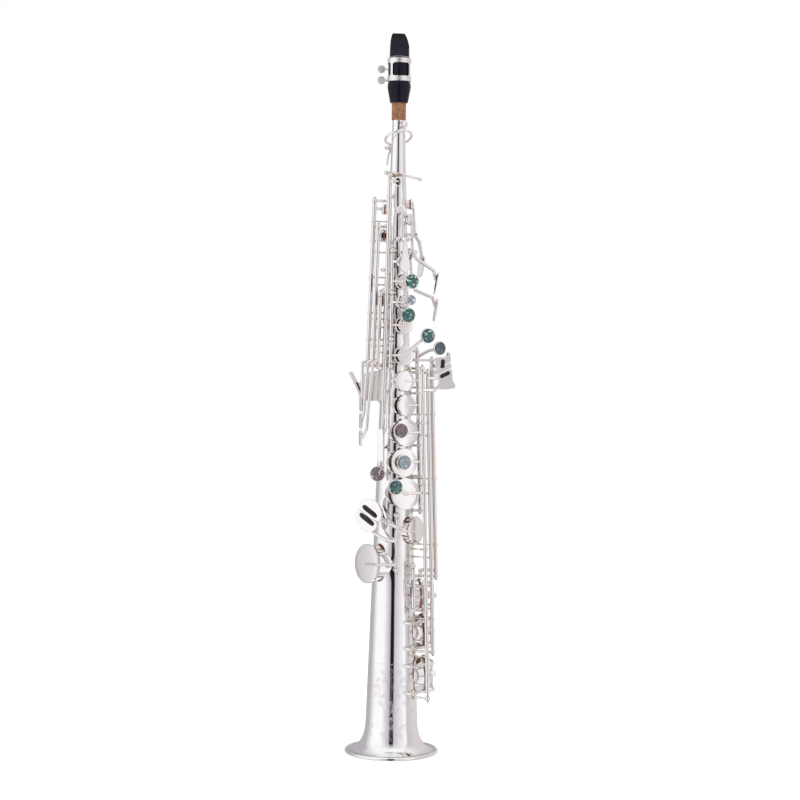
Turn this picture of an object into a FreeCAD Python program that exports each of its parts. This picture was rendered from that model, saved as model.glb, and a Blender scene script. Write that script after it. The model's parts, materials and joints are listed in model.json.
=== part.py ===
"""Straight one-piece soprano saxophone, in millimetres.

+Z runs up the bore from the bell to the mouthpiece, and the main stack of keys faces -Y.
The origin is the centre of the bell's rim plane. Places on the instrument are given as an
angle round the bore (0 is the front, +90 the player's left, +X), a height above the body's
surface, and a height Z up the bore.
"""

import FreeCAD, Part

import math
import os
from FreeCAD import Matrix, Placement, Rotation, Vector

# ---- body ----
NECK_TOP = 653.0
BORE_WALL = 0.8
CONE_R = 5.9            # outer radius of the cone at CONE_Z
CONE_Z = 616.0
TAPER = 0.033           # growth of the radius per millimetre down the bore
FLARE_Z = 34.0          # the straight cone ends and the bell flares below this
FLARE = [(26.6, 19.4), (29.3, 12.0), (33.4, 6.6), (38.2, 3.7), (42.4, 2.3)]
SEAMS = (50.0, 351.0)   # the bell, body tube and neck tube meet at these heights
RIM_R = 43.9
RIM_WIRE_R = 1.5
RIM_FLAT = 0.25         # how far the rim's rest face is cut into the rolled wire
AXIS_UP = Vector(0, 0, 1)
TILT = math.atan(TAPER)

# ---- mouthpiece end ----
CORK_LOW, CORK_HIGH, CORK_R = 614.0, 652.0, 6.9
SHANK_Z = 630.5
MOUTH_TOP = 698.0
SHANK_R, BARREL_R = 8.5, 11.3
BARREL_LOW, BARREL_HIGH = 645.0, 672.5
MOUTH_BORE_R = CORK_R + 0.05
MOUTH_BORE_TOP = 661.0  # leaves room to push the mouthpiece further on
REED_ANGLE = -195.0     # the reed lies on the back, against the lower lip
REED_TABLE = 7.9        # the flat that the reed lies on, from the bore's axis
REED_HALF, REED_BACK_R = 6.0, 10.5
REED_LOW = BARREL_LOW + 2.5
# the beak's top line, as rise above the barrel and distance towards the reed
BEAK_SLOPE = [(1.0, -11.5), (6.5, -6.4), (12.5, -2.2), (19.0, 1.9), (26.0, 5.5)]
# half the beak's width at each Z
BEAK_EDGE = [(10.4, 670.0), (9.3, 681.0), (8.6, 689.0), (7.5, 694.0), (6.2, 697.2), (4.6, 699.2)]
LIGATURE_LOW, LIGATURE_HIGH = 651.0, 673.0
LIGATURE_R, LIGATURE_WALL = 10.62, 0.8
LIGATURE_WINDOWS = [(-104.0, 6.0), (-15.0, 8.0), (75.0, 6.0)]   # angle and half width
SCREW_LEVELS = (653.6, 664.2)
SCREW_OUT, SCREW_HEAD_R = 14.0, 3.9
LUG_INNER, LUG_OUTER = 1.6, 5.0

# ---- keywork ----
ROD_R = 1.2
TUBE_IN, TUBE_OUT = 1.25, 1.95
POST_HOLE = 1.22
BALL_R, STEM_R, FOOT_R = 2.6, 1.25, 2.7
TUBE_END_GAP = 2.8      # from a post's centre to the end of the tube beside it
CHIMNEY_WALL = 0.9
CUP_RIM, CUP_EDGE, CUP_TOP = 1.6, 3.5, 4.7
CUP_WALL = 0.7
PAD_LOW, PAD_HIGH = 0.15, 2.8
PEARL_R, PEARL_WALL = 6.8, 0.6
SMALL_PEARL_R = 4.6
STACK_FACING = -2.0     # the stacks' pearls face the front
JOINT_BALL = 1.06       # a bar's ball, as a part of the bar's own radius
SOLDER_GAP = 0.03       # parts soldered to the body stop this far from its surface
SEPARATE_PADS = ("e_flat_key", "low_c_key", "low_c_sharp_key", "low_b_key", "low_b_flat_key")

# ---- hinge lines along the body: angle, height above its surface ----
LINE_UPPER = (-40.0, 5.5)       # upper stack
LINE_LOWER = (48.0, 8.0)        # lower stack
LINE_G_SHARP = (66.0, 7.0)
LINE_FOOT = (-18.0, 8.5)        # E flat and low C
LINE_C_SHARP = (19.0, 7.5)
LINE_B_FLAT = (36.0, 15.5)      # long rods to the little finger's table
LINE_B = (45.0, 19.0)
LINE_C_LEVER = (52.5, 22.0)
LINE_HIGH_E = (-95.0, 15.0)     # long rods to the right hand's side touches
LINE_SIDE_C = (-80.0, 13.0)
LINE_SIDE_B = (-68.0, 11.5)
LINE_F_SHARP = (-56.0, 7.0)

# ---- short hinges across the body: angle, height and Z ----
PALM_F_HINGE = (74.0, 7.5, 504.0)
PALM_E_FLAT_HINGE = (34.0, 7.0, 487.0)
PALM_D_HINGE = (104.0, 8.0, 457.0)
FRONT_F_HINGE = (-5.0, 7.0, 499.0)
NECK_HINGE = (180.0, 6.5, 588.0)
BODY_OCTAVE_HINGE = (180.0, 6.0, 512.0)
THUMB_HINGE = (180.0, 9.0, 470.0)
SHORT_TUBE, SHORT_POST = 2.6, 5.2   # half the tube, and half the gap between the posts
SHORT_HINGES = (PALM_F_HINGE, PALM_E_FLAT_HINGE, PALM_D_HINGE, FRONT_F_HINGE, NECK_HINGE,
                BODY_OCTAVE_HINGE, THUMB_HINGE)

# ---- cups: angle, Z, cup radius, chimney height ----
CUPS = {
    "c_vent_key": (-6.0, 477.0, 5.4, 2.0),
    "b_key": (-3.0, 458.0, 7.6, 2.3),
    "bis_key": (-4.0, 438.0, 6.6, 2.3),
    "a_key": (0.0, 416.0, 8.7, 2.4),
    "g_key": (0.0, 387.0, 9.6, 2.5),
    "g_sharp_key": (2.0, 362.5, 10.0, 2.6),
    "f_sharp_key": (0.0, 339.0, 10.4, 2.7),
    "f_key": (-2.0, 312.8, 13.4, 2.9),
    "e_key": (-8.0, 284.3, 13.8, 3.0),
    "d_key": (-5.0, 254.2, 15.4, 3.1),
    "e_flat_key": (35.0, 217.8, 13.6, 3.0),
    "low_c_key": (-87.0, 185.5, 19.0, 3.4),
    "low_c_sharp_key": (74.0, 153.0, 16.6, 3.3),
    "low_b_key": (86.0, 116.5, 17.8, 3.4),
    "low_b_flat_key": (86.0, 74.0, 19.0, 3.5),
    "high_e_key": (-128.0, 528.0, 5.2, 2.0),
    "high_f_sharp_key": (-24.0, 554.0, 4.6, 1.9),
    "side_c_key": (-116.0, 503.0, 6.0, 2.1),
    "side_b_flat_key": (-104.0, 440.0, 6.8, 2.2),
    "palm_f_key": (74.0, 533.0, 5.2, 2.0),
    "palm_e_flat_key": (34.0, 518.0, 5.6, 2.1),
    "palm_d_key": (105.0, 485.0, 6.0, 2.1),
    "front_f_key": (-8.0, 527.0, 4.8, 1.9),
    "neck_octave_key": (6.0, 609.0, 3.3, 1.8),
    "body_octave_key": (180.0, 533.0, 3.6, 2.6),
}

# ---- touches for the little and side fingers ----
TABLE_MIDDLE = (60.0, 48.2, 372.0)      # angle, distance from the axis, Z
TABLE_FACING = 12.0
TABLE_ARM_R = 42.0      # the touches' arms pass outside all three rods
# outlines in the table's own plane, x round the bore and y up
TABLE_TOUCHES = {
    "low_c_sharp_lever": [(-13.2, 2.6), (5.8, 9.6), (4.4, 18.6), (2.2, 18.6), (0.9, 14.2),
                          (-13.2, 13.4)],
    "low_b_key": [(-13.2, -3.7), (6.3, 3.4), (5.9, 8.5), (-13.2, 1.5)],
    "low_b_flat_key": [(-8.0, -2.9), (7.2, 2.6), (8.2, -9.0), (12.0, -13.6), (10.6, -16.2),
                       (1.9, -17.4), (-7.0, -17.0), (-8.6, -14.4)],
}
SIDE_THETA, SIDE_R = -94.0, 34.6

# ---- guards and the strap's eye ----
GUARD_WIRE, GUARD_HIGH = 1.3, 18.2
BOSS_R, STUD_R, FELT_R = 3.1, 1.95, 3.6
STRAP_THETA, STRAP_Z, STRAP_REACH = 178.0, 392.0, 7.6
STRAP_HOLE_R, STRAP_WALL, STRAP_WIDTH = 3.6, 1.7, 3.0


def body_radius(z):
    return CONE_R + (CONE_Z - z) * TAPER


def radial(theta):
    a = math.radians(theta)
    return Vector(math.sin(a), -math.cos(a), 0)


def tangent(theta):
    a = math.radians(theta)
    return Vector(math.cos(a), math.sin(a), 0)


def normal(theta):
    return radial(theta) * math.cos(TILT) + AXIS_UP * math.sin(TILT)


def upward(theta):
    return AXIS_UP * math.cos(TILT) - radial(theta) * math.sin(TILT)


def place(theta, height, z):
    """A point that far above the body's surface."""
    return radial(theta) * (body_radius(z) + height) + AXIS_UP * z


def at_radius(theta, radius, z):
    """A point that far from the bore's axis."""
    return radial(theta) * radius + AXIS_UP * z


def axes_frame(origin, side, up, out):
    m = Matrix(side.x, up.x, out.x, origin.x,
               side.y, up.y, out.y, origin.y,
               side.z, up.z, out.z, origin.z,
               0, 0, 0, 1)
    return Placement(m)


def body_frame(theta, height, z):
    """Local axes on the body: x round the bore, y up the cone, z out of the surface."""
    origin = radial(theta) * body_radius(z) + AXIS_UP * z + normal(theta) * height
    return axes_frame(origin, tangent(theta), upward(theta), normal(theta))


def facing_frame(origin, theta, lean=0.0):
    """Local axes at a free point, with z facing outwards at an angle round the bore."""
    frame = axes_frame(origin, tangent(theta), AXIS_UP, radial(theta))
    return frame.multiply(Placement(Vector(), Rotation(Vector(1, 0, 0), lean)))


def moved(shape, frame):
    shape = shape.copy()
    shape.Placement = frame.multiply(shape.Placement)
    return shape


def joined(shapes):
    shapes = list(shapes)
    if len(shapes) == 1:
        return shapes[0]
    return shapes[0].fuse(shapes[1:]).removeSplitter()


def cylinder(start, end, radius):
    along = end - start
    return Part.makeCylinder(radius, along.Length, start, along)


def bar(start, end, r_start, r_end):
    """A round bar that tapers, with a slightly larger ball where it meets the next bar."""
    along = end - start
    if abs(r_start - r_end) < 1e-3:
        body = cylinder(start, end, r_start)
    else:
        body = Part.makeCone(r_start, r_end, along.Length, start, along)
    return [body, Part.makeSphere(r_end * JOINT_BALL, end, along)]


def path_bar(points, r_start, r_end):
    """Bars along a list of points, tapering evenly from end to end."""
    steps = len(points) - 1
    shapes = [Part.makeSphere(r_start, points[0], points[1] - points[0])]
    for i in range(steps):
        r0 = r_start + (r_end - r_start) * i / steps
        r1 = r_start + (r_end - r_start) * (i + 1) / steps
        shapes += bar(points[i], points[i + 1], r0, r1)
    return shapes


def turned(profile):
    """A solid turned about local z from (radius, z) points."""
    points = [Vector(r, 0, z) for r, z in profile]
    face = Part.Face(Part.makePolygon(points + [points[0]]))
    return face.revolve(Vector(), AXIS_UP, 360)


def plate(outline, thickness):
    """A flat plate with softened edges, from a smooth closed outline in local x and y."""
    points = [Vector(x, y, 0) for x, y in outline]
    curve = Part.BSplineCurve()
    curve.interpolate(points, PeriodicFlag=True)
    face = Part.Face(Part.Wire(curve.toShape()))
    solid = face.extrude(Vector(0, 0, thickness))
    top = [e for e in solid.Edges if e.CenterOfMass.z > thickness - 1e-3]
    return solid.makeFillet(0.5, top)


def oval(half_x, half_y, square=2.6, count=12):
    """Points of a rounded oblong."""
    points = []
    for i in range(count):
        a = 2 * math.pi * i / count
        c, s = math.cos(a), math.sin(a)
        points.append((half_x * math.copysign(abs(c) ** (2 / square), c),
                       half_y * math.copysign(abs(s) ** (2 / square), s)))
    return points


def slab(half_x, half_y, thickness, corner):
    """A rounded rectangular touch plate, centred in x and y."""
    block = Part.makeBox(2 * half_x, 2 * half_y, thickness, Vector(-half_x, -half_y, 0))
    uprights = [e for e in block.Edges if abs(e.tangentAt(e.FirstParameter).z) > 0.9]
    block = block.makeFillet(corner, uprights)
    top = [e for e in block.Edges if e.CenterOfMass.z > thickness - 1e-3]
    return block.makeFillet(min(0.6, thickness * 0.4), top)


def lobe(outline, thickness, corner):
    """A flat touch with straight sides, rounded at the corners."""
    points = [Vector(x, y, 0) for x, y in outline]
    solid = Part.Face(Part.makePolygon(points + [points[0]])).extrude(Vector(0, 0, thickness))
    uprights = [e for e in solid.Edges if abs(e.tangentAt(e.FirstParameter).z) > 0.9]
    solid = solid.makeFillet(corner, uprights)
    top = [e for e in solid.Edges if e.CenterOfMass.z > thickness - 1e-3]
    return solid.makeFillet(0.4, top)


# ---------------------------------------------------------------- hinges and keys

class Hinge:
    """A hinge line, its tube's two ends, and which way a turn opens the cup."""

    def __init__(self, start, end):
        self.start, self.end = start, end
        self.axis = (end - start).normalize()

    def nearest(self, point):
        along = (point - self.start).dot(self.axis)
        return self.start + self.axis * along

    def opening_axis(self, point, out):
        """The axis, turned so that a positive turn moves the point outwards."""
        sense = self.axis.cross(point - self.start).dot(out)
        return self.axis if sense > 0 else self.axis * -1

    def swing(self, shape, axis, degrees):
        turned_shape = shape.copy()
        turned_shape.rotate(self.start, axis, degrees)
        return turned_shape

    def swing_point(self, point, axis, degrees):
        return self.start + Rotation(axis, degrees).multVec(point - self.start)

    def tube(self):
        return cylinder(self.start, self.end, TUBE_OUT)

    def bore(self):
        reach = self.axis * 3
        return cylinder(self.start - reach, self.end + reach, TUBE_IN)


def along_body(theta, height, z_low, z_high):
    """A hinge that runs up the body's cone."""
    return Hinge(place(theta, height, z_low), place(theta, height, z_high))


def across_body(theta, height, z, half):
    """A short hinge that crosses the body's front, back or side."""
    middle = place(theta, height, z)
    return Hinge(middle - tangent(theta) * half, middle + tangent(theta) * half)


def cup_solid(radius):
    profile = [(0, PAD_HIGH + 0.05), (radius - CUP_WALL, PAD_HIGH + 0.05),
               (radius - CUP_WALL, CUP_RIM), (radius, CUP_RIM), (radius, CUP_EDGE),
               (radius - 0.5, CUP_EDGE + 0.45), (radius * 0.72, CUP_TOP - 0.25),
               (radius * 0.4, CUP_TOP - 0.05), (0, CUP_TOP)]
    return turned(profile)


def pad_solid(radius):
    r = radius - CUP_WALL - 0.05
    return turned([(0, PAD_LOW), (r - 0.5, PAD_LOW), (r, PAD_LOW + 0.4),
                   (r, PAD_HIGH), (0, PAD_HIGH)])


def pearl_holder(radius):
    outer = radius + PEARL_WALL
    return turned([(0, -1.6), (outer * 0.55, -1.6), (outer, -0.5), (outer, 1.5),
                   (radius, 1.5), (radius, 0), (0, 0)])


def pearl_solid(radius):
    r = radius - 0.04
    return turned([(0, 0.04), (r, 0.04), (r, 1.35), (r * 0.86, 1.85),
                   (r * 0.55, 2.15), (r * 0.25, 2.26), (0, 2.3)])


class Key:
    """One brazed key: tube, arms, cup and touch. It is drawn with its pad closed, and an
    open-standing key is then swung to where its spring holds it."""

    def __init__(self, name, hinge, cup=None, travel=9.0, stands_open=True, press_out=None,
                 arm_via=None):
        self.name, self.hinge, self.travel = name, hinge, travel
        self.metal, self.pads, self.pearls = [hinge.tube()], [], []
        self.rest_turn = 0.0
        self.cup = cup
        if cup:
            theta, z, radius, chimney = cup
            self.frame = body_frame(theta, chimney, z)
            self.out = normal(theta)
            centre = self.frame.Base
            self.open_axis = hinge.opening_axis(centre, self.out)
            self.metal.append(moved(cup_solid(radius), self.frame))
            self.pads.append(moved(pad_solid(radius), self.frame))
            self.rest_turn = travel if stands_open else 0.0
            self.press_axis = self.open_axis * (-1 if stands_open else 1)
            self.cup_arm(radius, arm_via)
        else:
            point, inwards = press_out
            self.open_axis = hinge.opening_axis(point, inwards)
            self.press_axis = self.open_axis

    def local(self, x, y, w):
        return self.frame.multVec(Vector(x, y, w))

    def cup_arm(self, radius, via):
        """The arm from the tube over the cup's edge to its middle."""
        middle = self.local(0, 0, CUP_TOP - 0.1)
        root = self.hinge.nearest(middle)
        if via:
            self.metal += path_bar([root, via], 1.6, 1.4)
            root = via
        inward = root - middle
        inward = inward - self.out * inward.dot(self.out)
        edge = middle + inward.normalize() * (radius - 0.2) + self.out * 0.25
        self.metal += path_bar([root, edge, middle], 1.6, 0.85)

    def closed(self, point):
        """Where a point of the key at rest lies when the pad is closed."""
        return self.hinge.swing_point(point, self.open_axis, -self.rest_turn)

    def closed_frame(self, frame):
        back = Placement(Vector(), Rotation(self.open_axis, -self.rest_turn), self.hinge.start)
        return back.multiply(frame)

    def add_arm(self, points, r_start=1.5, r_end=1.1):
        """An arm along points given for the key at rest."""
        self.metal += path_bar([self.closed(p) for p in points], r_start, r_end)

    def add_at_rest(self, shape, frame):
        self.metal.append(moved(shape, self.closed_frame(frame)))

    def add_pearl(self, origin, theta, radius, lean=0.0):
        frame = facing_frame(origin, theta, lean)
        self.add_at_rest(pearl_holder(radius), frame)
        self.pearls.append(moved(pearl_solid(radius), self.closed_frame(frame)))

    def finished(self):
        """The metal, pads and pearls where they stand at rest."""
        metal = joined(self.metal)
        for tool in [self.hinge.bore()] + self.pads:
            metal = metal.cut(tool)
        place_at_rest = lambda s: self.hinge.swing(s, self.open_axis, self.rest_turn)
        return (place_at_rest(metal), [place_at_rest(p) for p in self.pads],
                [place_at_rest(p) for p in self.pearls])


# hinge lines that run up the body: angle and height above the surface


def key_on(line, name, z_low, z_high, travel, stands_open):
    return Key(name, along_body(*line, z_low, z_high), CUPS[name], travel, stands_open)


def stack_keys():
    """The two stacks: cups on the front, each with its finger pearl."""
    spans = {
        "c_vent_key": (LINE_UPPER, 469.6, 485.2), "b_key": (LINE_UPPER, 450.3, 469.2),
        "bis_key": (LINE_UPPER, 426.2, 444.7), "a_key": (LINE_UPPER, 405.8, 425.8),
        "g_key": (LINE_UPPER, 379.8, 400.2), "f_sharp_key": (LINE_LOWER, 329.0, 347.8),
        "f_key": (LINE_LOWER, 302.8, 328.6), "e_key": (LINE_LOWER, 273.3, 297.2),
        "d_key": (LINE_LOWER, 239.8, 267.7),
    }
    travels = {"c_vent_key": 9, "b_key": 12, "bis_key": 12, "a_key": 12, "g_key": 12,
               "f_sharp_key": 10, "f_key": 10, "e_key": 10, "d_key": 10}
    # finger pearls at rest: angle, distance from the bore's axis, Z, radius
    pearls = {
        "b_key": (11.0, 24.0, 458.5, PEARL_R), "bis_key": (11.0, 22.9, 440.6, SMALL_PEARL_R),
        "a_key": (1.5, 24.8, 426.0, PEARL_R), "g_key": (38.5, 34.0, 406.4, PEARL_R),
        "f_key": (-14.8, 30.8, 315.6, PEARL_R), "e_key": (-8.8, 31.4, 285.2, PEARL_R),
        "d_key": (-23.2, 35.0, 261.6, PEARL_R),
    }
    keys = {}
    for name, (line, z_low, z_high) in spans.items():
        key = key_on(line, name, z_low, z_high, travels[name], True)
        if name in pearls:
            theta, radius, z, size = pearls[name]
            seat = at_radius(theta, radius, z)
            foot = key.hinge.swing_point(key.local(0, 0, CUP_TOP), key.open_axis, key.rest_turn)
            below = seat - radial(STACK_FACING) * 2.4
            if name == "g_key":
                bend = at_radius(12.0, 24.0, 393.0)
                key.add_arm([foot, bend, below], 1.7, 1.5)
            else:
                key.add_arm([foot, below], 1.9, 1.7)
            key.add_pearl(seat, STACK_FACING, size)
        keys[name] = key
    return keys


def g_sharp_key():
    key = key_on(LINE_G_SHARP, "g_sharp_key", 358.8, 388.4, 11, False)
    facing = 8.0
    seat = at_radius(60.0, 42.2, 394.4)
    key.add_arm([place(*LINE_G_SHARP, 385.2), at_radius(64.0, 31.0, 391.5),
                 seat - radial(facing) * 1.8], 1.8, 1.5)
    key.add_pearl(seat, facing, 6.2)
    return key


def foot_keys():
    """E flat and low C share one rod, with their two touches for the little finger."""
    middle = at_radius(-68.0, 34.5, 233.5)
    pair = tilted(middle, -60.0, -30.0)
    half_plate = [(-12.6, 1.3), (-4.0, 1.3), (4.0, 1.3), (12.6, 1.3), (13.8, 5.0),
                  (11.4, 11.0), (5.0, 15.2), (-5.0, 15.2), (-11.4, 11.0), (-13.8, 5.0)]

    e_flat = key_on(LINE_FOOT, "e_flat_key", 212.8, 230.4, 9, False)
    e_flat.add_arm([place(*LINE_FOOT, 222.0), at_radius(-34.0, 30.8, 226.0),
                    pair.multVec(Vector(5.0, 5.0, 0.2))], 1.8, 1.6)
    e_flat.add_at_rest(plate(half_plate, 1.7), pair)

    low_c = key_on(LINE_FOOT, "low_c_key", 183.8, 212.4, 9, True)
    low_c.add_arm([place(*LINE_FOOT, 209.0), at_radius(-38.0, 31.5, 210.0),
                   at_radius(-62.0, 32.0, 217.0), pair.multVec(Vector(0, -6.0, 0.2))], 1.8, 1.6)
    low_c.add_at_rest(plate([(x, -y) for x, y in half_plate], 1.7), pair)
    return {"e_flat_key": e_flat, "low_c_key": low_c}


def tilted(origin, theta, roll):
    """A facing frame rolled in its own plane."""
    frame = facing_frame(origin, theta)
    return frame.multiply(Placement(Vector(), Rotation(AXIS_UP, roll)))


def low_keys():
    """C sharp, B and B flat: cups on the player's left, touches in a table above."""
    keys = {}
    table = facing_frame(at_radius(*TABLE_MIDDLE), TABLE_FACING)
    # touch: key or lever, its line and tube, the angle its arm rises at, the arm's end
    touches = [
        ("low_c_sharp_lever", LINE_C_LEVER, 176.0, 380.0, 54.0, (-1.0, 10.2)),
        ("low_b_key", LINE_B, 102.8, 368.0, 45.0, (-11.4, -1.2)),
        ("low_b_flat_key", LINE_B_FLAT, 58.4, 372.0, 37.5, (-6.6, -13.8)),
    ]
    for name, line, z_low, z_high, rise, (x, y) in touches:
        seat = table.multVec(Vector(x, y, 0))
        if name in CUPS:
            key = key_on(line, name, z_low, z_high, 8.5, True)
        else:
            press = (seat, radial(TABLE_FACING) * -1)
            key = Key(name, along_body(*line, z_low, z_high), travel=7.5, press_out=press)
        root = place(*line, min(seat.z - 4.0, z_high - 2.4))
        over = at_radius(rise, TABLE_ARM_R, root.z)
        key.add_arm([root, over, seat - radial(TABLE_FACING) * 0.4], 1.7, 1.5)
        key.add_at_rest(lobe(TABLE_TOUCHES[name], 1.8, 0.9), table)
        keys[name] = key

    # C sharp's lever reaches under the other rods and lifts the arm of its cup's key
    lever = keys["low_c_sharp_lever"]
    lever.add_arm([place(*LINE_C_LEVER, 179.0), at_radius(58.0, 29.0, 179.0),
                   at_radius(44.0, 27.2, 179.0)], 1.7, 1.4)
    c_sharp = key_on(LINE_C_SHARP, "low_c_sharp_key", 144.0, 181.5, 8, False)
    c_sharp.add_arm([place(*LINE_C_SHARP, 174.0), at_radius(34.0, 29.0, 174.5),
                     at_radius(40.0, 30.4, 179.0)], 1.6, 1.4)
    keys["low_c_sharp_key"] = c_sharp
    return keys


def side_keys():
    """Long rods on the player's right, from side touches up to small closed cups."""
    keys = {}
    # name: line, tube, point the cup's arm bends at, bends of the touch's arm, touch Z
    table = [
        ("high_e_key", LINE_HIGH_E, 379.8, 533.0, None,
         [(-94.5, 34.0, 380.0), (-94.0, 34.4, 349.0)], 340.0),
        ("side_c_key", LINE_SIDE_C, 379.8, 508.0, place(-92.0, 8.6, 503.0),
         [(-80.5, 32.4, 380.0), (-83.0, 34.4, 345.0), (-85.0, 34.4, 333.0)], 323.5),
        ("side_b_flat_key", LINE_SIDE_B, 379.8, 443.2, place(-80.0, 8.4, 440.0),
         [(-69.0, 31.4, 380.0), (-74.0, 34.4, 335.0), (-77.0, 34.4, 316.0)], 307.0),
    ]
    for name, line, z_low, z_high, via, bends, touch_z in table:
        key = Key(name, along_body(*line, z_low, z_high), CUPS[name], 9, False, arm_via=via)
        seat = at_radius(SIDE_THETA, SIDE_R, touch_z)
        path = [place(*line, z_low + 3.0)] + [at_radius(*bend) for bend in bends]
        key.add_arm(path + [seat - radial(SIDE_THETA) * 0.5], 1.6, 1.35)
        key.add_at_rest(slab(2.8, 7.4, 1.7, 2.4), facing_frame(seat, SIDE_THETA))
        keys[name] = key

    f_sharp = key_on(LINE_F_SHARP, "high_f_sharp_key", 301.3, 557.0, 9, False)
    f_sharp.add_arm([place(*LINE_F_SHARP, 312.0), at_radius(-52.0, 26.5, 312.0)], 1.7, 1.5)
    strip = facing_frame(at_radius(-54.0, 27.0, 297.0), -50.0, 3.0)
    f_sharp.add_at_rest(slab(3.4, 20.0, 1.6, 2.4), strip)
    seat = at_radius(-57.0, 30.0, 273.6)
    f_sharp.add_arm([at_radius(-54.0, 28.2, 284.0), seat - radial(-36.0) * 2.2], 1.8, 1.6)
    f_sharp.add_pearl(seat, -36.0, PEARL_R)
    keys["high_f_sharp_key"] = f_sharp
    return keys


def rocker(name, hinge_at, half, travel):
    """A key on a short hinge across the body, with its pad on a spring-closed cup."""
    return Key(name, across_body(*hinge_at, half), CUPS[name], travel, False)


def palm_keys():
    """Palm, front F and octave keys rock on short hinges across the body."""
    keys = {}
    # name: hinge, then the touch's angle, radius and Z
    table = {
        "palm_f_key": (PALM_F_HINGE, 104.0, 29.6, 474.0),
        "palm_e_flat_key": (PALM_E_FLAT_HINGE, 62.0, 37.4, 457.5),
        "palm_d_key": (PALM_D_HINGE, 75.0, 38.0, 431.5),
    }
    for name, (hinge_at, t_theta, t_radius, t_z) in table.items():
        key = rocker(name, hinge_at, SHORT_TUBE, 8)
        theta, height, z = hinge_at
        seat = at_radius(t_theta, t_radius, t_z)
        high = at_radius(theta, body_radius(z) + height + 4.5, z - 6.5)
        low = at_radius(theta * 0.2 + t_theta * 0.8, t_radius * 0.96, t_z + 12.0)
        key.add_arm([place(*hinge_at), high, low, seat + AXIS_UP * 4], 1.9, 1.5)
        key.add_at_rest(plate(oval(4.2, 11.0), 1.7), facing_frame(seat, t_theta, 10.0))
        keys[name] = key

    front_f = rocker("front_f_key", FRONT_F_HINGE, SHORT_TUBE, 6)
    drop = [(0, 15.4), (2.1, 12.5), (2.6, 6), (3.9, -2), (5.0, -9), (3.4, -14), (0, -15.4),
            (-3.4, -14), (-5.0, -9), (-3.9, -2), (-2.6, 6), (-2.1, 12.5)]
    front_f.add_at_rest(plate(drop, 1.5), facing_frame(at_radius(-6.0, 23.0, 482.4), -4.0))
    front_f.add_arm([place(*FRONT_F_HINGE), at_radius(-5.0, 23.3, 493.0)], 1.7, 1.25)
    keys["front_f_key"] = front_f

    body = rocker("body_octave_key", BODY_OCTAVE_HINGE, SHORT_TUBE, 8)
    body.add_arm([place(*BODY_OCTAVE_HINGE), place(180.0, 6.2, 494.0)], 1.5, 1.1)
    keys["body_octave_key"] = body
    keys["neck_octave_key"] = neck_octave_key()

    hinge = across_body(*THUMB_HINGE, SHORT_TUBE)
    thumb_seat = at_radius(184.0, 25.0, 444.0)
    lever = Key("octave_thumb_lever", hinge, travel=8.0,
                press_out=(thumb_seat, radial(180.0) * -1))
    lever.add_arm([place(*THUMB_HINGE), at_radius(182.0, 24.0, 456.0), thumb_seat], 1.8, 1.4)
    lever.add_at_rest(plate(oval(5.0, 8.0), 1.7), facing_frame(thumb_seat, 184.0, -6.0))
    lever.add_arm([place(*THUMB_HINGE), place(180.0, 9.0, 486.0)], 1.6, 1.2)
    keys["octave_thumb_lever"] = lever
    return keys


def neck_octave_key():
    """The neck's octave key: a ring that climbs from the hinge behind to the front vent."""
    key = Key("neck_octave_key", across_body(*NECK_HINGE, SHORT_TUBE), CUPS["neck_octave_key"],
              7, False, arm_via=loop_point(-5.0))
    key.metal = key.metal[:1] + [moved(cup_solid(CUPS["neck_octave_key"][2]), key.frame)]
    curve = Part.BSplineCurve()
    curve.interpolate([loop_point(25.0 * i - 175.0) for i in range(15)])
    section = Part.makeCircle(1.1, curve.value(curve.FirstParameter),
                              curve.tangent(curve.FirstParameter)[0])
    key.metal.append(Part.Wire(curve.toShape()).makePipeShell([Part.Wire(section)], True, False))
    key.metal += path_bar([loop_point(5.0), key.local(0, 0, CUP_TOP - 0.2)], 1.2, 0.9)
    key.metal += path_bar([place(*NECK_HINGE), loop_point(180.0)], 1.4, 1.5)
    key.metal += path_bar([place(*NECK_HINGE), at_radius(-160.0, 13.5, 582.0),
                           at_radius(-145.0, 12.5, 572.0)], 1.3, 1.0)
    return key


def loop_point(theta):
    """A point of the ring round the neck, which is pear-shaped and climbs to the front."""
    front = (1 + math.cos(math.radians(theta))) / 2
    wide = abs(math.sin(math.radians(theta)))
    return at_radius(theta, 10.6 + 2.2 * wide, 591.0 + 12.5 * front)


def all_keys():
    keys = {}
    keys.update(stack_keys())
    keys["g_sharp_key"] = g_sharp_key()
    keys.update(foot_keys())
    keys.update(low_keys())
    keys.update(side_keys())
    keys.update(palm_keys())
    return keys


# ---------------------------------------------------------------- fixed parts

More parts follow.
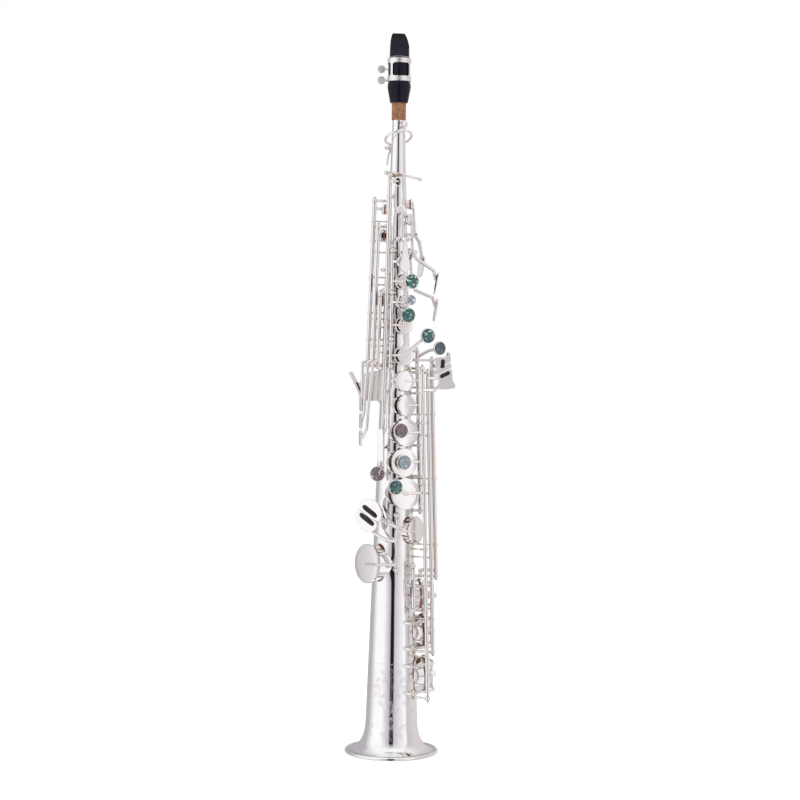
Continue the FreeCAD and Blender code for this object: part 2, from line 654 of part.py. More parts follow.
def body_tube():
    """The conical tube with its bell, drawn tone-hole chimneys and octave vents."""
    top_r = body_radius(NECK_TOP)
    outer = [Vector(top_r, 0, NECK_TOP), Vector(body_radius(FLARE_Z), 0, FLARE_Z)]
    flare = [outer[1]] + [Vector(r, 0, z) for r, z in FLARE]
    inner = [Vector(p.x - BORE_WALL, 0, p.z - (0.5 if i > 2 else 0)) for i, p in enumerate(flare)]
    inner[-1] = Vector(flare[-1].x, 0, flare[-1].z - BORE_WALL)
    curve = Part.BSplineCurve()
    curve.interpolate(flare)
    back = Part.BSplineCurve()
    back.interpolate(inner[::-1])
    neck_inner = Vector(top_r - BORE_WALL, 0, NECK_TOP)
    edges = [Part.LineSegment(outer[0], outer[1]).toShape(), curve.toShape(),
             Part.LineSegment(flare[-1], inner[-1]).toShape(), back.toShape(),
             Part.LineSegment(inner[0], neck_inner).toShape(),
             Part.LineSegment(neck_inner, outer[0]).toShape()]
    wall = Part.Face(Part.Wire(edges)).revolve(Vector(), AXIS_UP, 360)

    chimneys, holes = [], []
    for theta, z, radius, height in CUPS.values():
        hole_r = radius - (2.6 if radius > 12 else 1.9)
        frame = body_frame(theta, 0, z)
        depth = body_radius(z) * 0.7
        chimneys.append(moved(Part.makeCylinder(hole_r + CHIMNEY_WALL, depth + height,
                                                Vector(0, 0, -depth)), frame))
        holes.append(moved(Part.makeCylinder(hole_r, depth + height + 2,
                                             Vector(0, 0, -depth)), frame))
    bore = bore_solid()
    return joined([wall] + [c.cut(bore) for c in chimneys]).cut(holes)


def body_sections():
    """The bell, the body tube and the neck tube, soldered end to end."""
    whole = body_tube()
    levels = (-5.0,) + SEAMS + (NECK_TOP + 5.0,)
    sections = {}
    for name, low, high in zip(("bell", "body_tube", "neck_tube"), levels, levels[1:]):
        block = Part.makeBox(240, 240, high - low, Vector(-120, -120, low))
        sections[name] = [whole.common(block)]
    return sections


def cone_solid(extra, low=FLARE_Z, high=NECK_TOP):
    """The straight cone, grown or shrunk by an extra radius."""
    return Part.makeCone(body_radius(low) + extra, body_radius(high) + extra, high - low,
                         Vector(0, 0, low))


def bore_solid():
    return cone_solid(-BORE_WALL + 0.01)


def rim_ring():
    """The wire that the bell's edge is rolled over, with a narrow flat to stand on."""
    centre_z = RIM_WIRE_R - RIM_FLAT
    ring = Part.makeTorus(RIM_R, RIM_WIRE_R, Vector(0, 0, centre_z))
    below = Part.makeCylinder(RIM_R + 4, 4, Vector(0, 0, -4))
    bell_edge = turned([(RIM_R - 3, FLARE[-1][1] - BORE_WALL - SOLDER_GAP),
                        (FLARE[-1][0] + SOLDER_GAP, FLARE[-1][1] - BORE_WALL - SOLDER_GAP),
                        (FLARE[-1][0] + SOLDER_GAP, FLARE[-1][1] + 1.5),
                        (RIM_R - 3, FLARE[-1][1] + 1.5)])
    return ring.cut(below).cut(bell_edge)


def neck_cork():
    sleeve = Part.makeCylinder(CORK_R, CORK_HIGH - CORK_LOW, Vector(0, 0, CORK_LOW))
    return sleeve.cut(cone_solid(SOLDER_GAP))


def post(theta, height, z, across=None):
    """A ball post: foot, stem and ball, drilled for the rod."""
    ball = place(theta, height, z)
    root = radial(theta) * (body_radius(z) - 1) + AXIS_UP * z
    shapes = [Part.makeCone(STEM_R * 1.15, STEM_R * 0.85, (ball - root).Length, root, ball - root),
              Part.makeSphere(BALL_R, ball),
              Part.makeCylinder(FOOT_R, 2.0, root, radial(theta))]
    solid = joined(shapes).cut(cone_solid(SOLDER_GAP))
    along = across if across else upward(theta)
    return solid.cut(Part.makeCylinder(POST_HOLE, 12, ball - along * 6, along))


# posts along each hinge line, and the rod that runs through them
POSTS = [
    (LINE_UPPER, [488.0, 447.5, 403.0, 377.0]),
    (LINE_LOWER, [350.6, 300.0, 270.5, 237.0]),
    (LINE_G_SHARP, [391.2, 356.0]),
    (LINE_FOOT, [233.2, 181.0]),
    (LINE_C_SHARP, [184.3, 141.2]),
    (LINE_B_FLAT, [374.8, 55.6]),
    (LINE_B, [370.8, 100.0]),
    (LINE_C_LEVER, [382.8, 173.2]),
    (LINE_HIGH_E, [535.8, 377.0]),
    (LINE_SIDE_C, [510.8, 377.0]),
    (LINE_SIDE_B, [446.0, 377.0]),
    (LINE_F_SHARP, [559.8, 298.5]),
]


def all_posts():
    posts = [post(*line, z) for line, heights in POSTS for z in heights]
    for hinge_at in SHORT_HINGES:
        posts += [saddle_post(*hinge_at, side * SHORT_POST) for side in (-1, 1)]
    return posts


def saddle_post(theta, height, z, offset):
    """A post beside a short hinge, standing on the body's side."""
    ball = place(theta, height, z) + tangent(theta) * offset
    root = ball - radial(theta) * (height + body_radius(z))
    root = root + radial(theta) * (body_radius(z) * 0.55)
    shapes = [Part.makeCone(STEM_R * 1.15, STEM_R * 0.85, (ball - root).Length, root, ball - root),
              Part.makeSphere(BALL_R * 0.85, ball)]
    solid = joined(shapes).cut(cone_solid(SOLDER_GAP))
    return solid.cut(Part.makeCylinder(POST_HOLE, 12, ball - tangent(theta) * 6, tangent(theta)))


def all_rods():
    rods = []
    for line, heights in POSTS:
        top, low = place(*line, max(heights)), place(*line, min(heights))
        reach = upward(line[0]) * (BALL_R + 0.5)
        rods.append(cylinder(low - reach, top + reach, ROD_R))
    for hinge_at in SHORT_HINGES:
        middle = place(*hinge_at)
        reach = tangent(hinge_at[0]) * (SHORT_POST + BALL_R)
        rods.append(cylinder(middle - reach, middle + reach, ROD_R))
    return rods


# guards: the key covered, the feet's angles, where the wire comes out from under the long
# rods and how high it is there, and half the gap between the two wires
GUARDS = {
    "guard_low_c_sharp": ("low_c_sharp_key", 31.0, 124.0, 42.0, 12.0, 11.0),
    "guard_low_b": ("low_b_key", 6.0, 134.0, 50.0, 9.2, 12.5),
    "guard_low_b_flat": ("low_b_flat_key", 6.0, 134.0, 50.0, 9.2, 13.0),
}


def guard_level(cup_theta, near, far, way_out, low, z):
    """One wire: from its foot, under the long rods, out over the cup and back to the body."""
    inner, outer = body_radius(z) - 0.6, body_radius(z) + GUARD_HIGH
    bends = [(near, inner), (near + 4, inner + low - 1.5), (way_out, inner + low + 0.6),
             (way_out + 11, outer - 1.2), (cup_theta, outer), (far - 24.0, outer),
             (far - 8.0, outer - 4.0), (far, inner)]
    points = [at_radius(theta, r, z) for theta, r in bends]
    path = Part.makePolygon(points)
    section = Part.Wire(Part.makeCircle(GUARD_WIRE, points[0], points[1] - points[0]))
    return path.makePipeShell([section], True, False, 1)


def key_guard(key, near, far, way_out, low, spread):
    """Two wires over an open-standing cup, tied by a strap with the bumper's boss."""
    theta, z = CUPS[key][0], CUPS[key][1]
    shapes = [guard_level(theta, near, far, way_out, low, level)
              for level in (z - spread, z + spread)]
    tie_low = at_radius(theta, body_radius(z - spread) + GUARD_HIGH, z - spread)
    tie_high = at_radius(theta, body_radius(z + spread) + GUARD_HIGH, z + spread)
    shapes += bar(tie_low, tie_high, 1.5, 1.45)
    middle = (tie_low + tie_high) * 0.5
    out = radial(theta)
    shapes.append(cylinder(middle - out * 1.6, middle + out * 2.0, BOSS_R))
    guard = joined(shapes).cut(cone_solid(SOLDER_GAP))
    return guard.cut(cylinder(middle - out * 4, middle + out * 4, STUD_R + 0.04))


def guard_bumper(key, spread):
    """The threaded stud in a guard's boss, with a felt disc that the open cup rests near."""
    theta, z = CUPS[key.name][0], CUPS[key.name][1]
    out = radial(theta)
    boss_r = (body_radius(z - spread) + body_radius(z + spread)) / 2 + GUARD_HIGH
    top = key.local(0, 0, CUP_TOP + 1.3)
    cup_r = key.hinge.swing_point(top, key.open_axis, key.travel).dot(out)
    tip = out * cup_r + AXIS_UP * z
    inner = out * (boss_r - 2.0) + AXIS_UP * z
    head = out * (boss_r + 2.4) + AXIS_UP * z
    return joined([cylinder(tip, inner, FELT_R), cylinder(inner - out * 0.5, head, STUD_R),
                   cylinder(head - out * 0.3, head + out * 1.3, STUD_R + 0.8)])


def thumb_hook():
    """The hook for the right thumb: a web on the body with a curled lip."""
    theta, z = -124.0, 357.0
    body_r = body_radius(z)
    frame = axes_frame(AXIS_UP * z, radial(theta), AXIS_UP, tangent(theta) * -1)
    outline = [(body_r - 1.0, -14.5), (31.5, -14.5), (33.6, -11.0), (35.4, -6.0), (38.0, -0.5),
               (40.0, 3.5), (35.0, 3.0), (30.0, 12.5), (body_r + 3.0, 15.0),
               (body_r - 1.0, 15.0)]
    points = [Vector(x, y, -1.1) for x, y in outline]
    web = Part.Face(Part.makePolygon(points + [points[0]])).extrude(Vector(0, 0, 2.2))
    curve = [(45.2, 12.6), (42.6, 7.6), (39.4, 1.6), (36.4, -5.0), (34.2, -11.0), (33.4, -15.0)]
    inner = [(x - 1.7, y + 0.7) for x, y in curve]
    rim = [Vector(x, y, -6.2) for x, y in curve + inner[::-1]]
    lip = Part.Face(Part.makePolygon(rim + [rim[0]])).extrude(Vector(0, 0, 12.4))
    foot = Part.makeBox(2.8, 33, 8.0, Vector(body_r - 1.2, -16.5, -4.0))
    return moved(joined([web, foot, lip]), frame).cut(cone_solid(SOLDER_GAP))


def thumb_rest():
    """The round plate under the left thumb."""
    theta, z, low = 183.0, 420.0, 3.0
    disc = turned([(0, low), (5.6, low), (6.4, low + 0.8), (6.0, low + 1.9), (3.0, low + 2.5),
                   (0, low + 2.6)])
    stem = Part.makeCylinder(2.4, low + 2, Vector(0, 0, -1))
    return moved(joined([disc, stem]), body_frame(theta, 0, z)).cut(cone_solid(SOLDER_GAP))


def strap_ring():
    """The eye for the neck strap's hook, on a soldered foot."""
    centre = at_radius(STRAP_THETA, body_radius(STRAP_Z) + STRAP_REACH, STRAP_Z)
    side = tangent(STRAP_THETA)
    start = centre - side * (STRAP_WIDTH / 2)
    ring = Part.makeCylinder(STRAP_HOLE_R + STRAP_WALL, STRAP_WIDTH, start, side)
    stem = cylinder(radial(STRAP_THETA) * (body_radius(STRAP_Z) - 1) + AXIS_UP * STRAP_Z,
                    centre - radial(STRAP_THETA) * (STRAP_HOLE_R + 0.6), 1.5)
    foot = moved(slab(3.6, 8.0, 2.2, 3.0), body_frame(STRAP_THETA, -0.9, STRAP_Z))
    hole = Part.makeCylinder(STRAP_HOLE_R, STRAP_WIDTH + 8, start - side * 4, side)
    return joined([ring, stem, foot]).cut(hole).cut(cone_solid(SOLDER_GAP))


# ---------------------------------------------------------------- mouthpiece group

def mouthpiece():
    """Hard-rubber mouthpiece: shank, barrel and beak, with a table cut for the reed."""
    profile = [(0, SHANK_Z), (SHANK_R, SHANK_Z), (SHANK_R + 0.25, SHANK_Z + 0.8),
               (BARREL_R - 0.3, BARREL_LOW - 1.5), (BARREL_R, BARREL_LOW + 0.5),
               (BARREL_R - 0.3, BARREL_LOW + 4.0), (BARREL_R - 0.85, BARREL_LOW + 5.0),
               (9.9, BARREL_HIGH - 5), (9.6, BARREL_HIGH + 1), (9.2, BARREL_HIGH + 15),
               (9.0, MOUTH_TOP), (0, MOUTH_TOP)]
    solid = turned(profile)
    # the beak slopes in a shallow curve from the barrel up to the tip above the table
    slope = Part.BSplineCurve()
    slope.interpolate([Vector(0, BARREL_HIGH + rise, out) for rise, out in BEAK_SLOPE])
    start, end = slope.value(slope.FirstParameter), slope.value(slope.LastParameter)
    corners = [end, Vector(0, end.y, -16.0), Vector(0, start.y, -16.0), start]
    outline = Part.Wire([slope.toShape()] + Part.makePolygon(corners).Edges)
    wedge = Part.Face(outline).extrude(Vector(24, 0, 0))
    wedge.translate(Vector(-12, 0, 0))
    table = Part.makeBox(30, 80, 12, Vector(-15, BARREL_LOW + 1.5, REED_TABLE))
    window = Part.makeBox(8.4, 19, 12, Vector(-4.2, MOUTH_BORE_TOP + 8, 3.2))
    sides = joined([beak_side(1), beak_side(-1)])
    reed_side = facing_frame(Vector(), REED_ANGLE)
    bore = Part.makeCylinder(MOUTH_BORE_R, MOUTH_BORE_TOP - SHANK_Z + 1, Vector(0, 0, SHANK_Z - 1))
    throat = Part.makeCylinder(4.3, 16, Vector(0, 0, MOUTH_BORE_TOP - 1))
    shaped = solid
    for cutter in (wedge, table, sides):
        shaped = shaped.cut(moved(cutter, reed_side))
    shaped = shaped.cut(bore).cut(throat)
    return shaped.cut(moved(window, reed_side))


def beak_side(side):
    """The wedge that narrows one side of the beak to the tip."""
    edge = Part.BSplineCurve()
    edge.interpolate([Vector(side * x, z, 0) for x, z in BEAK_EDGE])
    start, end = edge.value(edge.FirstParameter), edge.value(edge.LastParameter)
    corners = [end, Vector(side * 14.0, end.y, 0), Vector(side * 14.0, start.y, 0), start]
    outline = Part.Wire([edge.toShape()] + Part.makePolygon(corners).Edges)
    cutter = Part.Face(outline).extrude(Vector(0, 0, 32))
    cutter.translate(Vector(0, 0, -16))
    return cutter


def reed():
    """Cane reed: flat on the table, with a vamp thinned to the tip."""
    low, high, face = REED_LOW, MOUTH_TOP - 0.8, REED_TABLE + 0.03
    side = [Vector(0, low, face), Vector(0, high, face), Vector(0, high, face + 0.22),
            Vector(0, high - 24, face + 1.9), Vector(0, high - 27, face + 3.0),
            Vector(0, low, face + 3.0)]
    blank = Part.Face(Part.makePolygon(side + [side[0]])).extrude(Vector(2 * REED_HALF, 0, 0))
    blank.translate(Vector(-REED_HALF, 0, 0))
    round_back = Part.makeCylinder(REED_BACK_R, high - low + 4, Vector(0, low - 2, 0),
                                   Vector(0, 1, 0))
    return moved(blank.common(round_back), facing_frame(Vector(), REED_ANGLE))


def ligature():
    """Metal band with cut-out windows, closed on the reed side by two screw lugs."""
    height = LIGATURE_HIGH - LIGATURE_LOW
    outer = Part.makeCylinder(LIGATURE_R + LIGATURE_WALL, height, Vector(0, 0, LIGATURE_LOW))
    band = outer.cut(Part.makeCylinder(LIGATURE_R, height + 2, Vector(0, 0, LIGATURE_LOW - 1)))
    for theta, half in LIGATURE_WINDOWS:
        opening = Part.makeBox(2 * half, 12.6, 12, Vector(-half, LIGATURE_LOW + 4.8, 3))
        uprights = [e for e in opening.Edges if abs(e.tangentAt(e.FirstParameter).z) > 0.9]
        opening = opening.makeFillet(2.0, uprights)
        band = band.cut(moved(opening, facing_frame(Vector(), theta)))
    reed_side = facing_frame(Vector(), REED_ANGLE)
    gap = Part.makeBox(2 * LUG_INNER, height + 2, 12, Vector(-LUG_INNER, LIGATURE_LOW - 1, 6))
    band = band.cut(moved(gap, reed_side))
    lugs = []
    for level in SCREW_LEVELS:
        for x in (-LUG_OUTER, LUG_INNER):
            lugs.append(Part.makeBox(LUG_OUTER - LUG_INNER, 4.4, 5.6,
                                     Vector(x, level - 2.2, LIGATURE_R)))
    band = joined([band] + [moved(lug, reed_side) for lug in lugs])
    for level in SCREW_LEVELS:
        drill = Part.makeCylinder(1.15, 16, Vector(-8, level, SCREW_OUT), Vector(1, 0, 0))
        band = band.cut(moved(drill, reed_side))
    return band


def ligature_screw(level):
    """Thumb screw across the band's two lugs, with a flat coin of a head."""
    along = Vector(1, 0, 0)
    shaft = Part.makeCylinder(1.1, 17.6, Vector(-6.0, level, SCREW_OUT), along)
    collar = Part.makeCylinder(1.9, 1.2, Vector(LUG_OUTER + 0.1, level, SCREW_OUT), along)
    middle = Vector(11.2 + SCREW_HEAD_R, level, SCREW_OUT - 1.1)
    head = Part.makeCylinder(SCREW_HEAD_R, 2.2, middle)
    head = head.makeFillet(0.7, head.Edges)
    return moved(joined([shaft, collar, head]), facing_frame(Vector(), REED_ANGLE))


# ---------------------------------------------------------------- output


def fixed_nodes(keys):
    nodes = body_sections()
    nodes.update({
        "bell_rim_ring": [rim_ring()], "neck_cork": [neck_cork()],
        "posts": all_posts(), "hinge_rods": all_rods(),
        "thumb_hook": [thumb_hook()], "thumb_rest": [thumb_rest()], "strap_ring": [strap_ring()],
        "mouthpiece": [mouthpiece()], "reed": [reed()], "ligature": [ligature()],
        "ligature_screw_lower": [ligature_screw(SCREW_LEVELS[0])],
        "ligature_screw_upper": [ligature_screw(SCREW_LEVELS[1])],
    })
    bumpers = []
    for name, (key, *shape, spread) in GUARDS.items():
        nodes[name] = [key_guard(key, *shape, spread)]
        bumpers.append(guard_bumper(keys[key], spread))
    nodes["guard_bumpers"] = bumpers
    return nodes


def key_nodes(keys):
    nodes = {}
    for name, key in keys.items():
        metal, pads, pearls = key.finished()
        if name in SEPARATE_PADS:
            nodes[name] = [metal]
            nodes[name.replace("_key", "_pad")] = pads
        else:
            nodes[name] = [metal] + pads
        if pearls:
            nodes[name.replace("_key", "_pearl")] = pearls
    return nodes


def main():
    os.makedirs("parts", exist_ok=True)
    keys = all_keys()
    nodes = fixed_nodes(keys)
    nodes.update(key_nodes(keys))
    for name, shapes in nodes.items():
        solids = [s for shape in shapes for s in shape.Solids]
        Part.makeCompound(solids).exportStep(f"parts/{name}.step")


if __name__ == "__main__":
    main()
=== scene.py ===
"""Looks of the straight soprano saxophone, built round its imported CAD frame.

Everything is in metres in the CAD's frame: +Z up the bore, the origin at the bell's rim, and
angles round the bore start at the front (-Y) and grow towards the player's left (+X).
"""

import json
import math
import random

import bmesh
import bpy
from mathutils import Matrix, Vector
from mathutils.bvhtree import BVHTree


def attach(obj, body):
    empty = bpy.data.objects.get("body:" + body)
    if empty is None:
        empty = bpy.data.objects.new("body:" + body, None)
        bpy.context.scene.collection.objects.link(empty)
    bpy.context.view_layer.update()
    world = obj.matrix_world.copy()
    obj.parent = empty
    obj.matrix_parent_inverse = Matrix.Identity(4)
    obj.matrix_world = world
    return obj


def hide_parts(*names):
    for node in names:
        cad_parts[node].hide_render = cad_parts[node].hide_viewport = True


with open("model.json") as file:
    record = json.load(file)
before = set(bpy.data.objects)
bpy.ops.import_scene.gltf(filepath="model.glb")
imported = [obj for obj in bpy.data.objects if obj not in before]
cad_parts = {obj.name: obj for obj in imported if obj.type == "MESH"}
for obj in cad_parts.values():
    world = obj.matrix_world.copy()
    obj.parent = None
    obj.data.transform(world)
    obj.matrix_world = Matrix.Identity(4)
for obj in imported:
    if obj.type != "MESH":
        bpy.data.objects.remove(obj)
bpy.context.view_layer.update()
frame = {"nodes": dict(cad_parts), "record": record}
NODES = frame["nodes"]
RECORD = frame["record"]
MM = 0.001
UP = Vector((0, 0, 1))
X_AXIS = Vector((1, 0, 0))

# ---- the camera: metres and degrees, and millimetres of lens ----
CAMERA_AZIMUTH = -25.0
CAMERA_DISTANCE = 1.930
CAMERA_HEIGHT = 0.4245
CAMERA_PITCH = 2.4
CAMERA_ROLL = 0.71
CAMERA_LENS = 89.5
CAMERA_SHIFT = 0.0059
SENSOR_WIDTH = 36.0

# ---- the body's cone: its outer radius at one height, and how it widens downwards ----
TAPER = 0.033
CONE_R, CONE_Z = 5.9, 616.0

# ---- pads: leather that shows between the cup's rim and the face, and its rounded edge ----
PAD_SIDE = 1.5
PAD_CHAMFER = 0.5

# ---- flat faces of the CAD: how nearly round a disc is, and the least pad and stud to count ----
DISC_TOLERANCE = 0.06
LEAST_PAD_R, LEAST_STUD_R = 1.4, 3.0

# ---- engraving: widths of the cuts in millimetres ----
STEM_CUT, EDGE_CUT, CURL_CUT = 0.42, 0.36, 0.34
BORDER_CUT, VEIN_CUT, FILL_CUT, HATCH_CUT = 0.28, 0.26, 0.24, 0.16
CUT_LIFT, CUT_CREST = 0.012, 0.05
# a radius beyond the bell, from which the skin is looked for
OUTSIDE = 60.0
VINE_FOOT, VINE_RISE = 13.0, 74.0

# points along a vine and a tendril, and the usual leaf and tendril
VINE_POINTS, CURL_POINTS = 60, 22
LEAF_LENGTH, LEAF_LEAN, CURL_SIZE, CURL_ABOVE = 7.5, 48, 2.3, 3.5

# filling cuts: rows up the bell and columns round it, then each cut's lean and rise
FILL_ROWS, FILL_FOOT, FILL_SPACING = 34, 14.0, 2.1
FILL_ANGLE, FILL_COLUMN, FILL_LEAN, FILL_RISE = -31.0, 8.0, 7.0, 2.6

# wavy borders: each one's height and count of lines, then the line's points round the bell
BORDERS = ((9.4, 3), (88.5, 2))
BORDER_START, BORDER_STEP, BORDER_POINTS, BORDER_GAP = -110, 3.0, 56, 0.8

# each vine's angle, sway and phase
VINES = ((-42.0, 13.0, 0.0), (-12.0, 12.0, 1.5), (20.0, 11.0, 0.6), (-74.0, 12.0, 2.2))

# ---- little fingers' touches: angle, radius, height, facing and roll ----
TABLE = (60.0, 48.2, 372.0, 12.0)
FOOT_TOUCHES = (-68.0, 34.5, 233.5, -60.0, -30.0)

# name: touches' frame, body, middle in the frame, turn in it, half length, radius
ROLLERS = {
    "c_sharp_roller": (TABLE, "low_c_sharp_lever", (-4.5, 7.6), 86.0, 4.4, 2.7),
    "b_flat_roller": (TABLE, "low_b_flat_key", (-1.6, -3.0), 20.0, 6.4, 2.2),
    "e_flat_roller": (FOOT_TOUCHES, "e_flat_key", (-0.6, 4.3), 0.0, 9.6, 2.75),
    "low_c_roller": (FOOT_TOUCHES, "low_c_key", (0.4, -4.3), 0.0, 9.6, 2.75),
}
ROLLER_LIFT = 1.3
ROLLER_FLATNESS = 0.55
# how far the rollers' ends round off
BLUNTNESS = {TABLE: 0.9, FOOT_TOUCHES: 2.4}

# ---- needle springs: half lengths by key, none where the key has no room for one ----
SPRING_HALF = 8.5
SPRING_HALVES = {"c_vent": 6.5, "low_b_flat": 0, "palm": 0, "front": 0, "octave": 0, "screw": 0,
                 "mouthpiece": 0}
SPRING_OUT, SPRING_ASIDE, SPRING_SLANT = 0.4, 2.5, 0.5
SPRING_RADII = (0.34, 0.30, 0.18)

# ---- rods long enough to want guides: angle, height above the body, and the guides' levels ----
GUIDED_RODS = [
    (-95.0, 15.0, (402, 428, 462, 497, 516)), (-80.0, 13.0, (396, 422, 455, 486)),
    (-68.0, 11.5, (390, 414)), (-56.0, 7.0, (352, 384, 420, 466, 496, 540)),
    (36.0, 15.5, (96, 140, 200, 262, 322)), (45.0, 19.0, (132, 192, 254, 310)),
    (52.5, 22.0, (204, 268, 330)),
]
GUIDE_FLANGE = [(2.3, -0.2), (2.3, 0.35), (1.6, 0.75), (0, 0.8)]
GUIDE_STEM = (0.95, 0.7, 0.85)
GUIDE_STEM_END = 2.1
GUIDE_RING_R, GUIDE_RING_WALL, GUIDE_RING_HALF = 2.35, 0.34, 0.9

# ---- slotted rod ends: the disc's heights, and the foot, edge and top of its two raised halves ----
HEAD_SINK, HEAD_DISC = -0.1, 0.12
HALF_FOOT, HALF_EDGE, HALF_TOP = 0.1, 0.32, 0.5
HALF_INSET, SLOT_HALF = 0.86, 0.16
HALF_STEPS = 14

# ---- octave rocker: angle, radius and height along it, its thickness and its end balls ----
ROCKER_TRACK = [(-112, 11.6, 563.4), (-70, 11.4, 562.9), (-35, 11.3, 562.0), (0, 11.6, 561.0),
                (25, 13.4, 559.8), (42, 17.0, 558.4), (52, 22.0, 557.0)]
ROCKER_RADII = (1.5, 1.25, 1.25, 1.3, 1.2, 1.1, 1.0)
ROCKER_BALLS = (2.1, 1.6)

# ---- thin rings: radius, height and thickness ----
MOUTHPIECE_RING = (9.6, 674.3, 0.25)
RIM_SEAM = (41.0, 2.85, 0.22)

# ---- softboxes: degrees from the camera, height, distance, width, how tall, and watts ----
KEY_SOFTBOX = (-62, 0.75, 1.7, 0.7, 1.7, 9)
FILL_SOFTBOX = (70, 0.8, 1.9, 0.6, 1.5, 5)

# ---- stage and light ----
FLOOR_RADIUS = 3.0
FLOOR_DROP = 0.0002
FLOOR_GLOW = 0.22
FLOOR_FADE = (0.5, 2.6)
LIGHT_TARGET = Vector((0, 0, 0.36))

# tones of the studio's walls
WHITE, PALE, GREY = (1.05, 1.04, 1.05), (0.86, 0.83, 0.86), (0.60, 0.57, 0.61)
DIM, WARM, DARK = (0.48, 0.465, 0.50), (0.73, 0.69, 0.68), (0.012, 0.010, 0.016)

# the walls in turn, by degrees from the camera's side round to the picture's right
STUDIO = [(-180, DIM), (-120, DIM), (-85, WHITE), (-45, WHITE), (-32, PALE), (-10, DIM), (-8, DARK),
          (8, DARK), (10, GREY), (40, PALE), (64, WHITE), (74, GREY), (105, WARM), (150, WARM),
          (180, DIM)]
CEILING_BLEND = (0.62, 0.93)


def body_radius(z):
    """Outer radius of the cone in millimetres at a height in millimetres."""
    return CONE_R + (CONE_Z - z) * TAPER


def around(theta, radius, z):
    """A point at an angle round the bore, from millimetres."""
    a = math.radians(theta)
    return Vector((math.sin(a) * radius, -math.cos(a) * radius, z)) * MM


# ------------------------------------------------------------------ shader helpers

def new_material(name):
    """A node material, its tree and its shader."""
    material = bpy.data.materials.new(name)
    material.use_nodes = True
    tree = material.node_tree
    shader = tree.nodes["Principled BSDF"]
    return material, tree, shader


def object_coordinates(tree, stretch=(1, 1, 1)):
    """Coordinates fixed to the object, scaled along each axis."""
    coordinates = tree.nodes.new("ShaderNodeTexCoord")
    mapping = tree.nodes.new("ShaderNodeMapping")
    mapping.inputs["Scale"].default_value = stretch
    tree.links.new(coordinates.outputs["Object"], mapping.inputs["Vector"])
    return mapping.outputs["Vector"]


def noise(tree, vector, scale, detail=3.0, roughness=0.5, distortion=0.0):
    """A noise texture laid along a vector."""
    node = tree.nodes.new("ShaderNodeTexNoise")
    node.inputs["Scale"].default_value = scale
    node.inputs["Detail"].default_value = detail
    node.inputs["Roughness"].default_value = roughness
    node.inputs["Distortion"].default_value = distortion
    tree.links.new(vector, node.inputs["Vector"])
    return node


def ramp(tree, factor, stops):
    """Colours from (position, colour) stops along a factor."""
    node = tree.nodes.new("ShaderNodeValToRGB")
    elements = node.color_ramp.elements
    while len(elements) < len(stops):
        elements.new(0.5)
    for element, (position, colour) in zip(elements, stops):
        element.position = position
        element.color = (*colour, 1.0)
    tree.links.new(factor, node.inputs["Fac"])
    return node.outputs["Color"]


def value_range(tree, value, low, high, from_low=0.3, from_high=0.7):
    """Maps a value from one range to another."""
    node = tree.nodes.new("ShaderNodeMapRange")
    node.inputs["From Min"].default_value = from_low
    node.inputs["From Max"].default_value = from_high
    node.inputs["To Min"].default_value = low
    node.inputs["To Max"].default_value = high
    tree.links.new(value, node.inputs["Value"])
    return node.outputs["Result"]


def bump(tree, shader, height, strength, distance):
    """Raises and sinks a shader's surface by a height."""
    node = tree.nodes.new("ShaderNodeBump")
    node.inputs["Strength"].default_value = strength
    node.inputs["Distance"].default_value = distance
    tree.links.new(height, node.inputs["Height"])
    tree.links.new(node.outputs["Normal"], shader.inputs["Normal"])


def base_colour(tree, shader, factor, stops):
    """Sets a shader's base colour from stops along a factor."""
    tree.links.new(ramp(tree, factor, stops), shader.inputs["Base Color"])


def set_roughness(tree, shader, factor, low, high):
    """Varies a shader's roughness between two values."""
    tree.links.new(value_range(tree, factor, low, high), shader.inputs["Roughness"])


# a Mix node's sockets for colours: it has others for plain numbers and vectors
MIX_FACTOR, MIX_FIRST, MIX_SECOND, MIX_RESULT = 0, 6, 7, 2


def blend(tree, factor, first, second, mode="MIX"):
    """Mixes two colours; each is a socket or a plain colour."""
    node = tree.nodes.new("ShaderNodeMix")
    node.data_type = "RGBA"
    node.blend_type = mode
    for index, value in ((MIX_FACTOR, factor), (MIX_FIRST, first), (MIX_SECOND, second)):
        socket = node.inputs[index]
        if isinstance(value, bpy.types.NodeSocket):
            tree.links.new(value, socket)
        elif isinstance(value, tuple):
            socket.default_value = (*value, 1.0)
        else:
            socket.default_value = value
    return node.outputs[MIX_RESULT]


# ------------------------------------------------------------------ materials

def silver_plate(name, bright, tarnish, rough_low, rough_high, wave=0.02, painted_crevice_shade=(0.70, 0.58, 0.36)):
    """Polished silver plate: cloudy tarnish, painted warm shade in the crevices, with a hand-buffed wave."""
    material, tree, shader = new_material(name)
    vector = object_coordinates(tree)
    cloud = noise(tree, vector, 28.0, 4.0, 0.55)
    unshaded_tone = ramp(tree, cloud.outputs["Fac"], [(0.36, bright), (0.68, tarnish)])
    # painted shade: where ambient occlusion finds creases and gaps between parts, a warm dark colour is
    # mixed in for the warm bounced light and shade there
    painted_shade_ao = tree.nodes.new("ShaderNodeAmbientOcclusion")
    painted_shade_ao.samples = 6
    painted_shade_ao.inputs["Distance"].default_value = 0.004
    unshaded_share = value_range(tree, painted_shade_ao.outputs["AO"], 0.0, 1.0, 0.15, 0.88)
    tree.links.new(blend(tree, unshaded_share, painted_crevice_shade, unshaded_tone), shader.inputs["Base Color"])
    lines = noise(tree, object_coordinates(tree, (1, 1, 6)), 420.0, 2.0, 0.6)
    set_roughness(tree, shader, lines.outputs["Fac"], rough_low, rough_high)
    buffed = noise(tree, vector, 60.0, 2.0, 0.4)
    bump(tree, shader, buffed.outputs["Fac"], wave, 0.002)
    shader.inputs["Metallic"].default_value = 1.0
    return material


